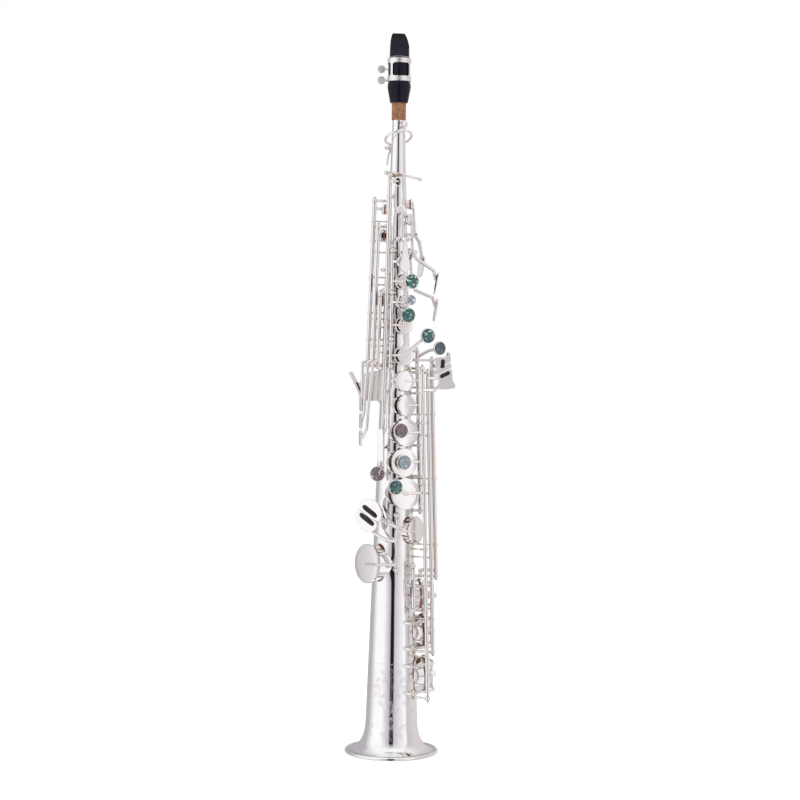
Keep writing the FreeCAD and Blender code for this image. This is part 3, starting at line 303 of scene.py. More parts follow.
def rod_steel():
    """Turned steel with a grain round the rod."""
    material, tree, shader = new_material("rod_steel_look")
    vector = object_coordinates(tree, (1, 1, 0.2))
    grain = noise(tree, vector, 900.0, 2.0)
    base_colour(tree, shader, grain.outputs["Fac"], [(0.3, (0.50, 0.50, 0.52)), (0.7, (0.68, 0.67, 0.66))])
    set_roughness(tree, shader, grain.outputs["Fac"], 0.16, 0.30)
    shader.inputs["Metallic"].default_value = 1.0
    return material


def blued_steel():
    """Heat-blued spring steel, blue to purple."""
    material, tree, shader = new_material("blued_steel_look")
    tint = noise(tree, object_coordinates(tree), 300.0)
    base_colour(tree, shader, tint.outputs["Fac"], [(0.35, (0.05, 0.07, 0.14)), (0.65, (0.12, 0.10, 0.16))])
    shader.inputs["Metallic"].default_value = 1.0
    shader.inputs["Roughness"].default_value = 0.25
    return material


def ebonite():
    """Polished hard rubber with faint turning rings and a dusty bloom."""
    material, tree, shader = new_material("ebonite_look")
    vector = object_coordinates(tree)
    bloom = noise(tree, vector, 90.0, 4.0, 0.6)
    base_colour(tree, shader, bloom.outputs["Fac"],
                [(0.35, (0.005, 0.004, 0.009)), (0.75, (0.011, 0.009, 0.018))])
    rings = noise(tree, object_coordinates(tree, (0.05, 0.05, 1)), 1500.0, 2.0)
    set_roughness(tree, shader, bloom.outputs["Fac"], 0.10, 0.24)
    bump(tree, shader, rings.outputs["Fac"], 0.06, 0.0006)
    shader.inputs["Specular IOR Level"].default_value = 0.16
    return material


def cane():
    """Reed cane with fibres along the reed."""
    material, tree, shader = new_material("cane_look")
    fibres = noise(tree, object_coordinates(tree, (9, 9, 0.35)), 420.0, 3.0, 0.6)
    base_colour(tree, shader, fibres.outputs["Fac"],
                [(0.30, (0.50, 0.33, 0.13)), (0.62, (0.80, 0.62, 0.34))])
    shader.inputs["Roughness"].default_value = 0.5
    bump(tree, shader, fibres.outputs["Fac"], 0.25, 0.0006)
    return material


def cork():
    """Greased cork: dark pores and lenticels in a mottled brown."""
    material, tree, shader = new_material("cork_look")
    vector = object_coordinates(tree)
    mottle = noise(tree, vector, 330.0, 5.0, 0.65, 0.6)
    pores = tree.nodes.new("ShaderNodeTexVoronoi")
    pores.inputs["Scale"].default_value = 620.0
    tree.links.new(object_coordinates(tree, (1, 1, 2.2)), pores.inputs["Vector"])
    base = ramp(tree, mottle.outputs["Fac"],
                [(0.28, (0.13, 0.060, 0.028)), (0.52, (0.30, 0.135, 0.062)), (0.75, (0.40, 0.20, 0.10))])
    dark = ramp(tree, pores.outputs["Distance"], [(0.12, (0.32, 0.32, 0.32)), (0.30, (1, 1, 1))])
    tree.links.new(blend(tree, 1.0, base, dark, "MULTIPLY"), shader.inputs["Base Color"])
    shader.inputs["Roughness"].default_value = 0.62
    bump(tree, shader, pores.outputs["Distance"], 0.35, 0.0005)
    return material


def leather(name, dark, light, scale=900.0):
    """Pad leather: fine kid grain over felt."""
    material, tree, shader = new_material(name)
    vector = object_coordinates(tree)
    grain = tree.nodes.new("ShaderNodeTexVoronoi")
    grain.inputs["Scale"].default_value = scale * 1.6
    tree.links.new(vector, grain.inputs["Vector"])
    tone = noise(tree, vector, scale * 0.3, 4.0, 0.6)
    base_colour(tree, shader, tone.outputs["Fac"], [(0.3, dark), (0.7, light)])
    shader.inputs["Roughness"].default_value = 0.46
    bump(tree, shader, grain.outputs["Distance"], 0.25, 0.0003)
    return material


def felt(name, colour):
    """Pressed felt with a fine fuzz."""
    material, tree, shader = new_material(name)
    fuzz = noise(tree, object_coordinates(tree), 1400.0, 5.0, 0.7)
    paler = tuple(min(1.0, c * 1.5 + 0.04) for c in colour)
    base_colour(tree, shader, fuzz.outputs["Fac"], [(0.3, colour), (0.7, paler)])
    shader.inputs["Roughness"].default_value = 0.95
    shader.inputs["Sheen Weight"].default_value = 0.4
    bump(tree, shader, fuzz.outputs["Fac"], 0.5, 0.0004)
    return material


def abalone(name, colours):
    """Dark mother-of-pearl: swirling bands from dark to the bright vein, the last colour."""
    material, tree, shader = new_material(name)
    vector = object_coordinates(tree)
    swirl = noise(tree, vector, 105.0, 2.5, 0.6, 3.0)
    base_colour(tree, shader, swirl.outputs["Fac"], list(zip(SHELL_BANDS, colours)))
    layers = noise(tree, vector, 420.0, 2.0, 0.5, 1.4)
    set_roughness(tree, shader, layers.outputs["Fac"], 0.05, 0.16)
    bump(tree, shader, layers.outputs["Fac"], 0.05, 0.0004)
    shader.inputs["Metallic"].default_value = 0.25
    shader.inputs["Coat Weight"].default_value = 0.8
    shader.inputs["Coat Roughness"].default_value = 0.04
    return material


def engraved():
    """Frosted silver left by the engraver's wriggle cuts."""
    material, tree, shader = new_material("engraved_look")
    cuts = noise(tree, object_coordinates(tree), 1600.0, 2.0)
    base_colour(tree, shader, cuts.outputs["Fac"], [(0.35, (0.78, 0.77, 0.79)), (0.65, (0.95, 0.94, 0.95))])
    shader.inputs["Metallic"].default_value = 1.0
    shader.inputs["Roughness"].default_value = 0.42
    bump(tree, shader, cuts.outputs["Fac"], 0.35, 0.0003)
    return material


def roller_black():
    """Smooth black plastic."""
    material, tree, shader = new_material("roller_look")
    tone = noise(tree, object_coordinates(tree), 350.0)
    base_colour(tree, shader, tone.outputs["Fac"],
                [(0.35, (0.008, 0.008, 0.010)), (0.7, (0.03, 0.03, 0.034))])
    set_roughness(tree, shader, tone.outputs["Fac"], 0.12, 0.26)
    shader.inputs["Specular IOR Level"].default_value = 0.2
    return material


# where each of a shell's bands of colour lies in its swirl
SHELL_BANDS = (0.30, 0.38, 0.44, 0.49, 0.54, 0.58, 0.64)
GREEN_SHELL = [(0.003, 0.008, 0.010), (0.005, 0.035, 0.032), (0.03, 0.20, 0.16), (0.006, 0.012, 0.016),
               (0.06, 0.05, 0.09), (0.01, 0.10, 0.09), (0.50, 0.80, 0.70)]
SLATE_SHELL = [(0.010, 0.016, 0.022), (0.030, 0.048, 0.058), (0.07, 0.10, 0.12), (0.02, 0.03, 0.04),
               (0.09, 0.09, 0.13), (0.05, 0.08, 0.09), (0.30, 0.38, 0.40)]
BROWN_SHELL = [(0.018, 0.012, 0.014), (0.07, 0.050, 0.052), (0.24, 0.18, 0.17), (0.03, 0.025, 0.03),
               (0.20, 0.13, 0.17), (0.08, 0.09, 0.09), (0.70, 0.64, 0.64)]
PALE_SHELL = [(0.03, 0.04, 0.05), (0.12, 0.18, 0.21), (0.38, 0.45, 0.50), (0.04, 0.05, 0.06),
              (0.36, 0.34, 0.42), (0.20, 0.32, 0.34), (0.85, 0.88, 0.90)]

MATERIALS = {
    # the body's last colour is its painted warm shade in the crevices
    "body_plate": silver_plate("body_silver", (0.95, 0.945, 0.945), (0.90, 0.885, 0.88),
                               0.05, 0.10, 0.012, (0.80, 0.74, 0.66)),
    "key_plate": silver_plate("key_silver", (0.95, 0.935, 0.94), (0.90, 0.868, 0.845),
                              0.06, 0.13, 0.03),
    "ligature_plate": silver_plate("ligature_silver", (0.94, 0.935, 0.94), (0.86, 0.85, 0.85),
                                   0.30, 0.40),
    "rod_steel": rod_steel(),
    "ebonite": ebonite(),
    "cane": cane(),
    "cork": cork(),
    "pad_leather": leather("pad_leather_look", (0.20, 0.055, 0.018), (0.42, 0.15, 0.055)),
    "pearl": abalone("green_shell_look", GREEN_SHELL),
    "g_sharp_pearl": abalone("slate_shell_look", SLATE_SHELL),
    "f_pearl": abalone("brown_shell_look", BROWN_SHELL),
    "e_pearl": abalone("pale_shell_look", PALE_SHELL),
    "bumper_felt": felt("bumper_felt_look", (0.55, 0.50, 0.42)),
    "spring": blued_steel(),
    "engraving": engraved(),
    "roller": roller_black(),
    "resonator": silver_plate("resonator_silver", (0.88, 0.84, 0.76), (0.74, 0.66, 0.52), 0.12, 0.22),
}


# ------------------------------------------------------------------ mesh helpers

def mesh_object(name, bm, materials, smooth=True):
    """Turns a bmesh into an object with the named materials."""
    data = bpy.data.meshes.new(name)
    bm.to_mesh(data)
    bm.free()
    piece = bpy.data.objects.new(name, data)
    bpy.context.scene.collection.objects.link(piece)
    for key in materials:
        data.materials.append(MATERIALS[key])
    if smooth:
        data.shade_smooth()
    return piece


def placed(axis, origin):
    """A matrix that puts local z along the axis, at the origin given."""
    z = axis.normalized()
    x = UP.cross(z)
    if x.length < 1e-4:
        x = X_AXIS.cross(z)
    x.normalize()
    turn = Matrix((x, z.cross(x), z)).transposed().to_4x4()
    return Matrix.Translation(origin) @ turn


def metres(profile):
    """A profile's points in metres, from millimetres."""
    return [(a * MM, b * MM) for a, b in profile]


def circle(steps):
    """Evenly spaced angles round a circle, closed by a full turn."""
    return [math.tau * i / steps for i in range(steps + 1)]


def riding(name, bm, materials, body, smooth=True):
    """Finishes a bmesh as a piece that moves with a body."""
    bmesh.ops.recalc_face_normals(bm, faces=bm.faces)
    piece = mesh_object(name, bm, materials, smooth)
    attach(piece, body)
    return piece


def lathe(bm, profile, matrix, steps=48, material=0):
    """Adds a turned shape from (radius, height) points in metres."""
    rings = []
    for radius, height in profile:
        if radius < 1e-9:
            rings.append([bm.verts.new(matrix @ Vector((0, 0, height)))])
            continue
        ring = []
        for i in range(steps):
            a = 2 * math.pi * i / steps
            ring.append(bm.verts.new(matrix @ Vector((radius * math.cos(a), radius * math.sin(a), height))))
        rings.append(ring)
    for low, high in zip(rings, rings[1:]):
        for i in range(steps):
            j = (i + 1) % steps
            corners = [low[i % len(low)], low[j % len(low)], high[j % len(high)], high[i % len(high)]]
            unique = list(dict.fromkeys(corners))
            if len(unique) >= 3:
                face = bm.faces.new(unique)
                face.material_index = material


def ball(bm, point, radius, steps=20, levels=12):
    """Adds a turned ball; Blender's own sphere lists its faces in another order each run."""
    angles = [math.pi * i / levels for i in range(levels + 1)]
    profile = [(radius * math.sin(a), -radius * math.cos(a)) for a in angles]
    lathe(bm, profile, Matrix.Translation(point), steps)


def tube(bm, points, radii, steps=8):
    """Adds a round wire with domed ends along a list of points."""
    rings = []
    side = None
    for i, point in enumerate(points):
        ahead = points[min(i + 1, len(points) - 1)] - points[max(i - 1, 0)]
        ahead.normalize()
        if side is None:
            side = ahead.cross(UP if abs(ahead.z) < 0.9 else X_AXIS)
        side = (side - ahead * side.dot(ahead)).normalized()
        across = ahead.cross(side)
        ring = []
        for k in range(steps):
            a = 2 * math.pi * k / steps
            ring.append(bm.verts.new(point + (side * math.cos(a) + across * math.sin(a)) * radii[i]))
        rings.append(ring)
    for low, high in zip(rings, rings[1:]):
        for k in range(steps):
            n = (k + 1) % steps
            bm.faces.new((low[k], low[n], high[n], high[k]))
    bm.faces.new(rings[0][::-1])
    bm.faces.new(rings[-1])


def flat_faces(node, least_area=0.5):
    """The node's flat faces as (area, centre, normal, furthest corner), in metres, largest first.

    Triangles with one normal and one plane are taken together, and least_area is in mm2.
    """
    data = NODES[node].data
    groups = {}
    for polygon in data.polygons:
        n = polygon.normal
        offset = n.dot(polygon.center)
        key = (round(n.x, 2), round(n.y, 2), round(n.z, 2), round(offset / (0.05 * MM)))
        groups.setdefault(key, []).append(polygon)
    faces = []
    for members in groups.values():
        area = sum(p.area for p in members)
        if area < least_area * MM * MM:
            continue
        centre = sum((p.center * p.area for p in members), Vector()) / area
        normal = sum((p.normal * p.area for p in members), Vector()).normalized()
        corners = {i for p in members for i in p.vertices}
        reach = max((data.vertices[i].co - centre).length for i in corners)
        faces.append((area, centre, normal, reach))
    return sorted(faces, key=lambda f: -f[0])


def is_disc(area, reach):
    """Whether a flat face fills the circle through its furthest corner."""
    return abs(area / (math.pi * reach * reach) - 1) < DISC_TOLERANCE


def pad_face(node):
    """Centre, normal and radius of the disc that a pad shows to its tone hole."""
    found = []
    for area, centre, normal, reach in flat_faces(node):
        away = Vector((centre.x, centre.y, 0))
        inward = normal.dot(away.normalized()) < -0.7
        if is_disc(area, reach) and reach > LEAST_PAD_R * MM and inward:
            found.append((away.length, centre, normal, reach))
    _, centre, normal, reach = min(found, key=lambda f: f[0])
    return centre, normal, reach


# ------------------------------------------------------------------ pads

def build_pad(name, node, body, stands_for=None):
    """A leather pad with the ring its tone hole presses in, and a riveted metal resonator."""
    centre, normal, reach = pad_face(node)
    r = reach / MM + PAD_CHAMFER
    # the tone hole presses its ring further in on a large pad, and the dome fits inside that ring
    seat = r - 1.4 if r > 10 else r - 0.95
    dome = max(seat - 1.6, seat * 0.45)
    leather_profile = [(r - 0.3, -2.4), (r + 0.02, -PAD_SIDE), (r + 0.03, -0.6), (r - 0.10, -0.22),
                       (r - 0.45, -0.01), (seat + 0.45, 0.07), (seat + 0.2, 0.0), (seat, -0.05),
                       (seat - 0.2, 0.0), (seat - 0.45, 0.06), (dome + 0.15, 0.06), (dome - 0.2, 0.02)]
    metal_profile = [(dome, 0.02), (dome - 0.05, 0.13), (dome * 0.9, 0.22), (dome * 0.5, 0.40),
                     (0.95, 0.47), (0.85, 0.66), (0.45, 0.76), (0.0, 0.78)]
    bm = bmesh.new()
    matrix = placed(normal, centre)
    lathe(bm, metres(leather_profile), matrix, 56, 0)
    lathe(bm, metres(metal_profile), matrix, 40, 1)
    pad = riding(name, bm, ["pad_leather", "resonator"], body)
    if stands_for:
        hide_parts(stands_for)


def build_pads():
    """A leather pad for each key: in place of its pad node, or over the pad in its own node."""
    for body, nodes in RECORD["behaviour"]["bodies"].items():
        pads = [n for n in nodes if n.endswith("_pad")]
        key = next((n for n in nodes if n.endswith("_key")), None)
        if pads:
            build_pad(pads[0] + "_leather", pads[0], body, pads[0])
        elif key:
            build_pad(key.replace("_key", "_pad") + "_leather", key, body)


# ------------------------------------------------------------------ engraving

class Skin:
    """The outside of the bell and body tube, to lay engraved lines on."""

    def __init__(self, nodes):
        bm = bmesh.new()
        for node in nodes:
            bm.from_mesh(NODES[node].data)
        self.tree = BVHTree.FromBMesh(bm)
        bm.free()

    def at(self, theta, z):
        """Point and normal of the skin at an angle and a height in millimetres."""
        start = around(theta, OUTSIDE, z)
        hit, normal, _, _ = self.tree.ray_cast(start, (around(theta, 0.0, z) - start).normalized())
        return (hit, normal) if hit else (None, None)


def stroke(bm, skin, track, width):
    """One engraved line along (angle, height) points, as a low ridge on the skin."""
    rows = []
    places = [skin.at(*p) for p in track]
    for i, (point, normal) in enumerate(places):
        ahead, behind = places[min(i + 1, len(places) - 1)][0], places[max(i - 1, 0)][0]
        if point is None or ahead is None or behind is None:
            return
        side = normal.cross(ahead - behind)
        if side.length < 1e-9:
            return
        taper = 0.35 + 0.65 * math.sin(math.pi * (i + 0.5) / len(places))
        side = side.normalized() * width * MM * 0.5 * taper
        lift = normal * CUT_LIFT * MM
        crest = normal * CUT_CREST * MM
        rows.append([bm.verts.new(p) for p in (point + side + lift, point + crest, point - side + lift)])
    for low, high in zip(rows, rows[1:]):
        for k in (0, 1):
            bm.faces.new((low[k], low[k + 1], high[k + 1], high[k]))


def leaf(bm, skin, theta, z, heading, length, degrees_per_mm):
    """A pointed leaf: two curved edges, a vein and slanting hatches."""
    a = math.radians(heading)

    def spot(along, across):
        x = along * math.cos(a) - across * math.sin(a)
        y = along * math.sin(a) + across * math.cos(a)
        return theta + x * degrees_per_mm, z + y

    steps = 9
    for side in (-1, 1):
        edge = [(length * i / steps, side * length * 0.26 * math.sin(math.pi * (i / steps) ** 0.8))
                for i in range(steps + 1)]
        stroke(bm, skin, [spot(*p) for p in edge], EDGE_CUT)
    stroke(bm, skin, [spot(length * i / 6, 0) for i in range(7)], VEIN_CUT)
    for i in range(2, 8):
        reach = length * 0.2 * math.sin(math.pi * (i / 9) ** 0.8)
        start = length * i / 9
        for side in (-1, 1):
            hatch = [spot(start + k * 0.45 * length / 9, side * reach * k / 3) for k in range(4)]
            stroke(bm, skin, hatch, HATCH_CUT)


def scroll(bm, skin, theta, z, hand, size, degrees_per_mm):
    """A curled tendril."""
    track = []
    for i in range(CURL_POINTS):
        s = i / (CURL_POINTS - 1)
        angle = hand * (0.4 + 4.6 * s)
        r = size * (1 - 0.82 * s)
        across = (r * math.cos(angle) - size) * hand
        track.append((theta + across * degrees_per_mm, z + r * math.sin(angle)))
    stroke(bm, skin, track, CURL_CUT)


def vine(bm, skin, rng, start, sway, phase):
    """A wavy stem up the bell, with leaves and tendrils to each side in turn."""
    stem = []
    for i in range(VINE_POINTS):
        t = i / (VINE_POINTS - 1)
        z = VINE_FOOT + VINE_RISE * t
        stem.append((start + sway * math.sin(phase + 7.4 * t) * (1 - 0.25 * t), z))
    stroke(bm, skin, stem, STEM_CUT)
    for i in range(4, VINE_POINTS - 2, 6):
        theta, z = stem[i]
        per_mm = math.degrees(1 / max(body_radius(z), 20.0))
        hand = 1 if (i // 6) % 2 else -1
        heading = 90 - hand * (LEAF_LEAN + rng.uniform(-8, 8))
        leaf(bm, skin, theta, z, heading, LEAF_LENGTH + rng.uniform(-1, 1.6), per_mm)
        size = CURL_SIZE + rng.uniform(-0.3, 0.5)
        scroll(bm, skin, theta, z + CURL_ABOVE, -hand, size, per_mm)


def build_engraving():
    """Four vines on the bell, short filling cuts between two of them, and wavy borders."""
    skin = Skin(["bell", "body_tube"])
    rng = random.Random(5)
    bm = bmesh.new()
    for start, sway, phase in VINES:
        vine(bm, skin, rng, start, sway, phase)
    for i in range(FILL_ROWS):
        z = FILL_FOOT + FILL_SPACING * i
        lean = FILL_LEAN if (i // 4) % 2 else -FILL_LEAN
        for k in range(2):
            start = FILL_ANGLE + FILL_COLUMN * k + rng.uniform(-2, 2)
            track = [(start + lean * t * 0.25, z + FILL_RISE * t * 0.25) for t in range(5)]
            stroke(bm, skin, track, FILL_CUT)
    for z, count in BORDERS:
        for k in range(count):
            border = [(BORDER_START + BORDER_STEP * i, z + BORDER_GAP * k + 0.5 * math.sin(i * 1.1))
                      for i in range(BORDER_POINTS)]
            stroke(bm, skin, border, BORDER_CUT)
    piece = mesh_object("bell_engraving", bm, ["engraving"], smooth=False)
    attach(piece, "body")


# ------------------------------------------------------------------ small metal parts

def slotted_head(bm, centre, axis, radius):
    """A screw's head: a low disc with a slot across it."""
    matrix = placed(axis, centre)
    lathe(bm, [(radius, HEAD_SINK * MM), (radius, HEAD_DISC * MM), (0, HEAD_DISC * MM)], matrix, 20)
    gap = SLOT_HALF * MM
    start = math.asin(gap / radius)
    for side in (-1, 1):
        outline = []
        for i in range(HALF_STEPS + 1):
            a = start + (math.pi - 2 * start) * i / HALF_STEPS
            outline.append((radius * math.cos(a), side * radius * math.sin(a)))
        inset = [(x * HALF_INSET, gap * side + (y - gap * side) * HALF_INSET) for x, y in outline]
        low = [bm.verts.new(matrix @ Vector((x, y, HALF_FOOT * MM))) for x, y in outline]
        mid = [bm.verts.new(matrix @ Vector((x, y, HALF_EDGE * MM))) for x, y in outline]
        top = [bm.verts.new(matrix @ Vector((x, y, HALF_TOP * MM))) for x, y in inset]
        for a, b in ((low, mid), (mid, top)):
            for i in range(len(outline)):
                j = (i + 1) % len(outline)
                bm.faces.new((a[i], a[j], b[j], b[i]))
        bm.faces.new(top)


def build_rod_heads():
    """Slotted ends on every hinge rod."""
    bm = bmesh.new()
    for area, centre, normal, reach in flat_faces("hinge_rods"):
        if is_disc(area, reach):
            slotted_head(bm, centre, normal, reach)
    riding("rod_end_slots", bm, ["rod_steel"], "body", smooth=False)


def touch_frame(theta, radius, z, facing, roll=0.0):
    """Local axes of a touch: x round the bore, y up and z out, rolled in its own plane."""
    f, r = math.radians(facing), math.radians(roll)
    side, out = Vector((math.cos(f), math.sin(f), 0)), Vector((math.sin(f), -math.cos(f), 0))
    x = side * math.cos(r) + UP * math.sin(r)
    turn = Matrix((x, out.cross(x), out)).transposed().to_4x4()
    return Matrix.Translation(around(theta, radius, z)) @ turn


def build_rollers():
    """Black rollers let into the little fingers' touches, where a finger slides across."""
    for name, (touches, body, (x, y), turn, half, r) in ROLLERS.items():
        blunt = BLUNTNESS[touches]
        profile = [(0, -half), (r * 0.62, -half + 0.15), (r * 0.92, -half + blunt), (r, -half + 2 * blunt),
                   (r, half - 2 * blunt), (r * 0.92, half - blunt), (r * 0.62, half - 0.15), (0, half)]
        matrix = touch_frame(*touches) @ Matrix.Translation(Vector((x, y, ROLLER_LIFT)) * MM)
        matrix = matrix @ Matrix.Rotation(math.radians(turn), 4, "Z")
        matrix = matrix @ Matrix.Diagonal((1, 1, ROLLER_FLATNESS, 1))
        matrix = matrix @ Matrix.Rotation(math.radians(90), 4, "Y")
        bm = bmesh.new()
        lathe(bm, metres(profile), matrix, 28)
        riding(name, bm, ["roller"], body)


def build_springs():
    """Blued needle springs, each beside its key's hinge tube."""
    bm = bmesh.new()
    for joint in RECORD["behaviour"]["joints"]:
        half = next((v for k, v in SPRING_HALVES.items() if k in joint["name"]), SPRING_HALF)
        if not half:
            continue
        middle, axis = Vector(joint["pos_m"]), Vector(joint["axis"]).normalized()
        out = Vector((middle.x, middle.y, 0)).normalized()
        side = axis.cross(out).normalized()
        points = [middle + axis * half * t * MM
                  + (out * SPRING_OUT + side * (SPRING_ASIDE + SPRING_SLANT * t)) * MM
                  for t in (-1, 0, 1)]
        tube(bm, points, [r * MM for r in SPRING_RADII], 8)
    riding("needle_springs", bm, ["spring"], "body")


def build_rod_guides():
    """Slim saddles along the long rods: a flange on the body, a stem and a ring for the tube."""
    bm = bmesh.new()
    ring_section = [(GUIDE_RING_R + GUIDE_RING_WALL * math.cos(a), GUIDE_RING_HALF * math.sin(a))
                    for a in circle(8)]
    for theta, height, levels in GUIDED_RODS:
        for z in levels:
            r = body_radius(z)
            out = around(theta, 1, 0).normalized()
            foot, seat = around(theta, r, z), around(theta, r + height, z)
            stem_end = seat - out * GUIDE_STEM_END * MM
            lathe(bm, metres(GUIDE_FLANGE), placed(out, foot), 20)
            tube(bm, [foot, foot.lerp(stem_end, 0.5), stem_end], [p * MM for p in GUIDE_STEM], 12)
            lathe(bm, metres(ring_section), placed(UP, seat), 24)
    riding("rod_guides", bm, ["key_plate"], "body")


def build_octave_rocker():
    """The arm round the neck between the thumb's lever and the neck's vent; it stays still here."""
    points = [around(*p) for p in ROCKER_TRACK]
    bm = bmesh.new()
    tube(bm, points, [r * MM for r in ROCKER_RADII], 14)
    for point, r in zip((points[0], points[-1]), ROCKER_BALLS):
        ball(bm, point, r * MM)
    riding("octave_rocker", bm, ["key_plate"], "body")


def build_ring(name, radius, z, thickness, material, body):
    """A thin ring round the bore's axis."""
    bm = bmesh.new()
    profile = [(radius + thickness * math.cos(a), z + thickness * math.sin(a)) for a in circle(8)]
    lathe(bm, metres(profile), Matrix.Identity(4), 96)
    riding(name, bm, [material], body)


def build_bumper_felts():
    """Felt discs at the tips of the guards' threaded studs."""
    bm = bmesh.new()
    for area, centre, normal, reach in flat_faces("guard_bumpers"):
        inward = normal.dot(Vector((centre.x, centre.y, 0)).normalized()) < -0.8
        if is_disc(area, reach) and reach > LEAST_STUD_R * MM and inward:
            r = reach / MM
            profile = [(0, 0.05), (r - 0.5, 0.05), (r + 0.03, -0.4), (r + 0.03, -2.2), (r - 0.3, -2.5)]
            lathe(bm, metres(profile), placed(normal, centre), 32)
    riding("bumper_felts", bm, ["bumper_felt"], "body")


# ------------------------------------------------------------------ CAD nodes

# nodes that borrow another's look
BORROWED_LOOKS = {"guard_bumpers": "key_plate", "high_f_sharp_pearl": "f_pearl", "bis_pearl": "e_pearl"}


def dress_nodes():
    """Gives every CAD node its own material, or else its slot's."""
    slots = {row["node"]: row["material_slot"] for row in RECORD["subparts"]}
    for name, node in NODES.items():
        look = BORROWED_LOOKS.get(name, name)
        material = MATERIALS.get(look) or MATERIALS[slots[name]]
        node.data.materials.clear()
        node.data.materials.append(material)


# ------------------------------------------------------------------ stage

def build_floor():
    """A round pale floor that fades out to the white room."""
    bm = bmesh.new()
    lathe(bm, [(0, 0), (0.3, 0), (0.8, 0), (1.6, 0), (FLOOR_RADIUS, 0)], Matrix.Identity(4), 96)
    floor = mesh_object("floor", bm, [], smooth=False)
    floor.location.z = -FLOOR_DROP
    material, tree, shader = new_material("pale_floor")
    vector = object_coordinates(tree)
    speckle = noise(tree, vector, 40.0, 4.0)
    base_colour(tree, shader, speckle.outputs["Fac"], [(0.3, (0.90, 0.90, 0.90)), (0.7, (0.93, 0.93, 0.93))])
    shader.inputs["Roughness"].default_value = 0.9
    shader.inputs["Specular IOR Level"].default_value = 0.0
    shader.inputs["Emission Color"].default_value = (1, 1, 1, 1)
    shader.inputs["Emission Strength"].default_value = FLOOR_GLOW
    length = tree.nodes.new("ShaderNodeVectorMath")
    length.operation = "LENGTH"
    tree.links.new(vector, length.inputs[0])
    fade = value_range(tree, length.outputs["Value"], 1.0, 0.0, *FLOOR_FADE)
    tree.links.new(fade, shader.inputs["Alpha"])
    floor.data.materials.append(material)
    floor.visible_glossy = False


def along(tree, direction, way):
    """How far a direction points along a fixed way."""
    node = tree.nodes.new("ShaderNodeVectorMath")
    node.operation = "DOT_PRODUCT"
    node.inputs[1].default_value = way
    tree.links.new(direction, node.inputs[0])
    return node.outputs["Value"]


def background(tree, colour):
    """A background shader of a socket's colour or a plain one."""
    node = tree.nodes.new("ShaderNodeBackground")
    if isinstance(colour, tuple):
        node.inputs["Color"].default_value = colour
    else:
        tree.links.new(colour, node.inputs["Color"])
    return node.outputs[0]


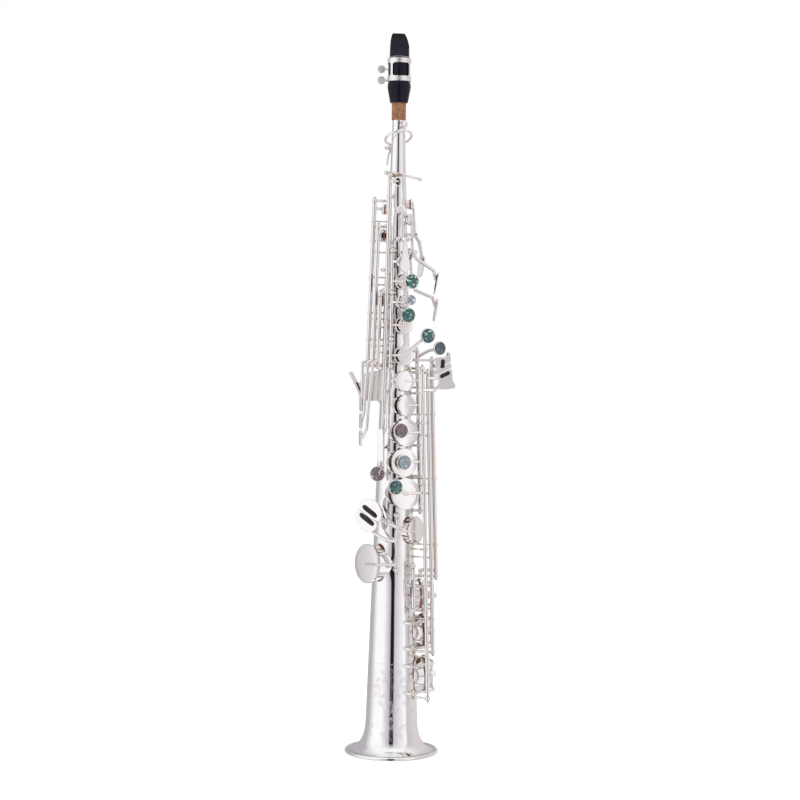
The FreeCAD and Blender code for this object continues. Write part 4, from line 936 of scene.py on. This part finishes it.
def build_world():
    """A white room; polished parts reflect its walls, with a dark gap behind the camera."""
    world = bpy.data.worlds.new("studio")
    bpy.context.scene.world = world
    world.use_nodes = True
    tree = world.node_tree
    tree.nodes.clear()
    direction = tree.nodes.new("ShaderNodeTexCoord").outputs["Generated"]
    a = math.radians(CAMERA_AZIMUTH)
    turn = tree.nodes.new("ShaderNodeMath")
    turn.operation = "ARCTAN2"
    tree.links.new(along(tree, direction, (math.cos(a), math.sin(a), 0)), turn.inputs[0])
    tree.links.new(along(tree, direction, (math.sin(a), -math.cos(a), 0)), turn.inputs[1])
    share = tree.nodes.new("ShaderNodeMath")
    share.operation = "MULTIPLY_ADD"
    share.inputs[1].default_value = 1 / math.tau
    share.inputs[2].default_value = 0.5
    tree.links.new(turn.outputs[0], share.inputs[0])
    walls = ramp(tree, share.outputs[0], [(degrees / 360 + 0.5, tone) for degrees, tone in STUDIO])
    height = value_range(tree, along(tree, direction, (0, 0, 1)), 0.0, 1.0, *CEILING_BLEND)
    room = background(tree, blend(tree, height, walls, (1.0, 1.0, 1.0)))
    paper = background(tree, (1.0, 1.0, 1.0, 1.0))
    mix = tree.nodes.new("ShaderNodeMixShader")
    tree.links.new(tree.nodes.new("ShaderNodeLightPath").outputs["Is Glossy Ray"], mix.inputs[0])
    tree.links.new(paper, mix.inputs[1])
    tree.links.new(room, mix.inputs[2])
    output = tree.nodes.new("ShaderNodeOutputWorld")
    tree.links.new(mix.outputs[0], output.inputs["Surface"])


def softbox(name, aside, height, distance, width, tall, power):
    """A soft rectangular lamp aimed at the instrument, left out of reflections."""
    light = bpy.data.lights.new(name, "AREA")
    light.shape = "RECTANGLE"
    light.size, light.size_y = width, tall
    light.energy = power
    lamp = bpy.data.objects.new(name, light)
    bpy.context.scene.collection.objects.link(lamp)
    a = math.radians(CAMERA_AZIMUTH + aside)
    lamp.location = (math.sin(a) * distance, -math.cos(a) * distance, height)
    towards = LIGHT_TARGET - lamp.location
    lamp.rotation_euler = towards.to_track_quat("-Z", "Y").to_euler()
    lamp.visible_camera = False
    lamp.visible_glossy = False


def build_camera():
    """The main view: a long lens, from the front and towards the player's right."""
    data = bpy.data.cameras.new("camera")
    data.lens, data.sensor_width = CAMERA_LENS, SENSOR_WIDTH
    data.shift_x = CAMERA_SHIFT
    data.clip_start, data.clip_end = 0.05, 50.0
    camera = bpy.data.objects.new("camera", data)
    bpy.context.scene.collection.objects.link(camera)
    a, p = math.radians(CAMERA_AZIMUTH), math.radians(CAMERA_PITCH)
    position = Vector((math.sin(a) * CAMERA_DISTANCE, -math.cos(a) * CAMERA_DISTANCE, CAMERA_HEIGHT))
    forward = Vector((-math.sin(a) * math.cos(p), math.cos(a) * math.cos(p), -math.sin(p)))
    turn = forward.to_track_quat("-Z", "Y").to_matrix().to_4x4()
    roll = Matrix.Rotation(math.radians(CAMERA_ROLL), 4, "Z")
    camera.matrix_world = Matrix.Translation(position) @ turn @ roll
    bpy.context.scene.camera = camera


dress_nodes()
build_pads()
build_engraving()
build_rod_heads()
build_rollers()
build_springs()
build_octave_rocker()
build_rod_guides()
build_ring("mouthpiece_ring", *MOUTHPIECE_RING, "ligature_plate", "mouthpiece")
build_ring("rim_seam", *RIM_SEAM, "rod_steel", "body")
build_bumper_felts()
build_floor()
build_world()
softbox("key_softbox", *KEY_SOFTBOX)
softbox("fill_softbox", *FILL_SOFTBOX)
build_camera()
bpy.context.scene.view_settings.view_transform = "Standard"
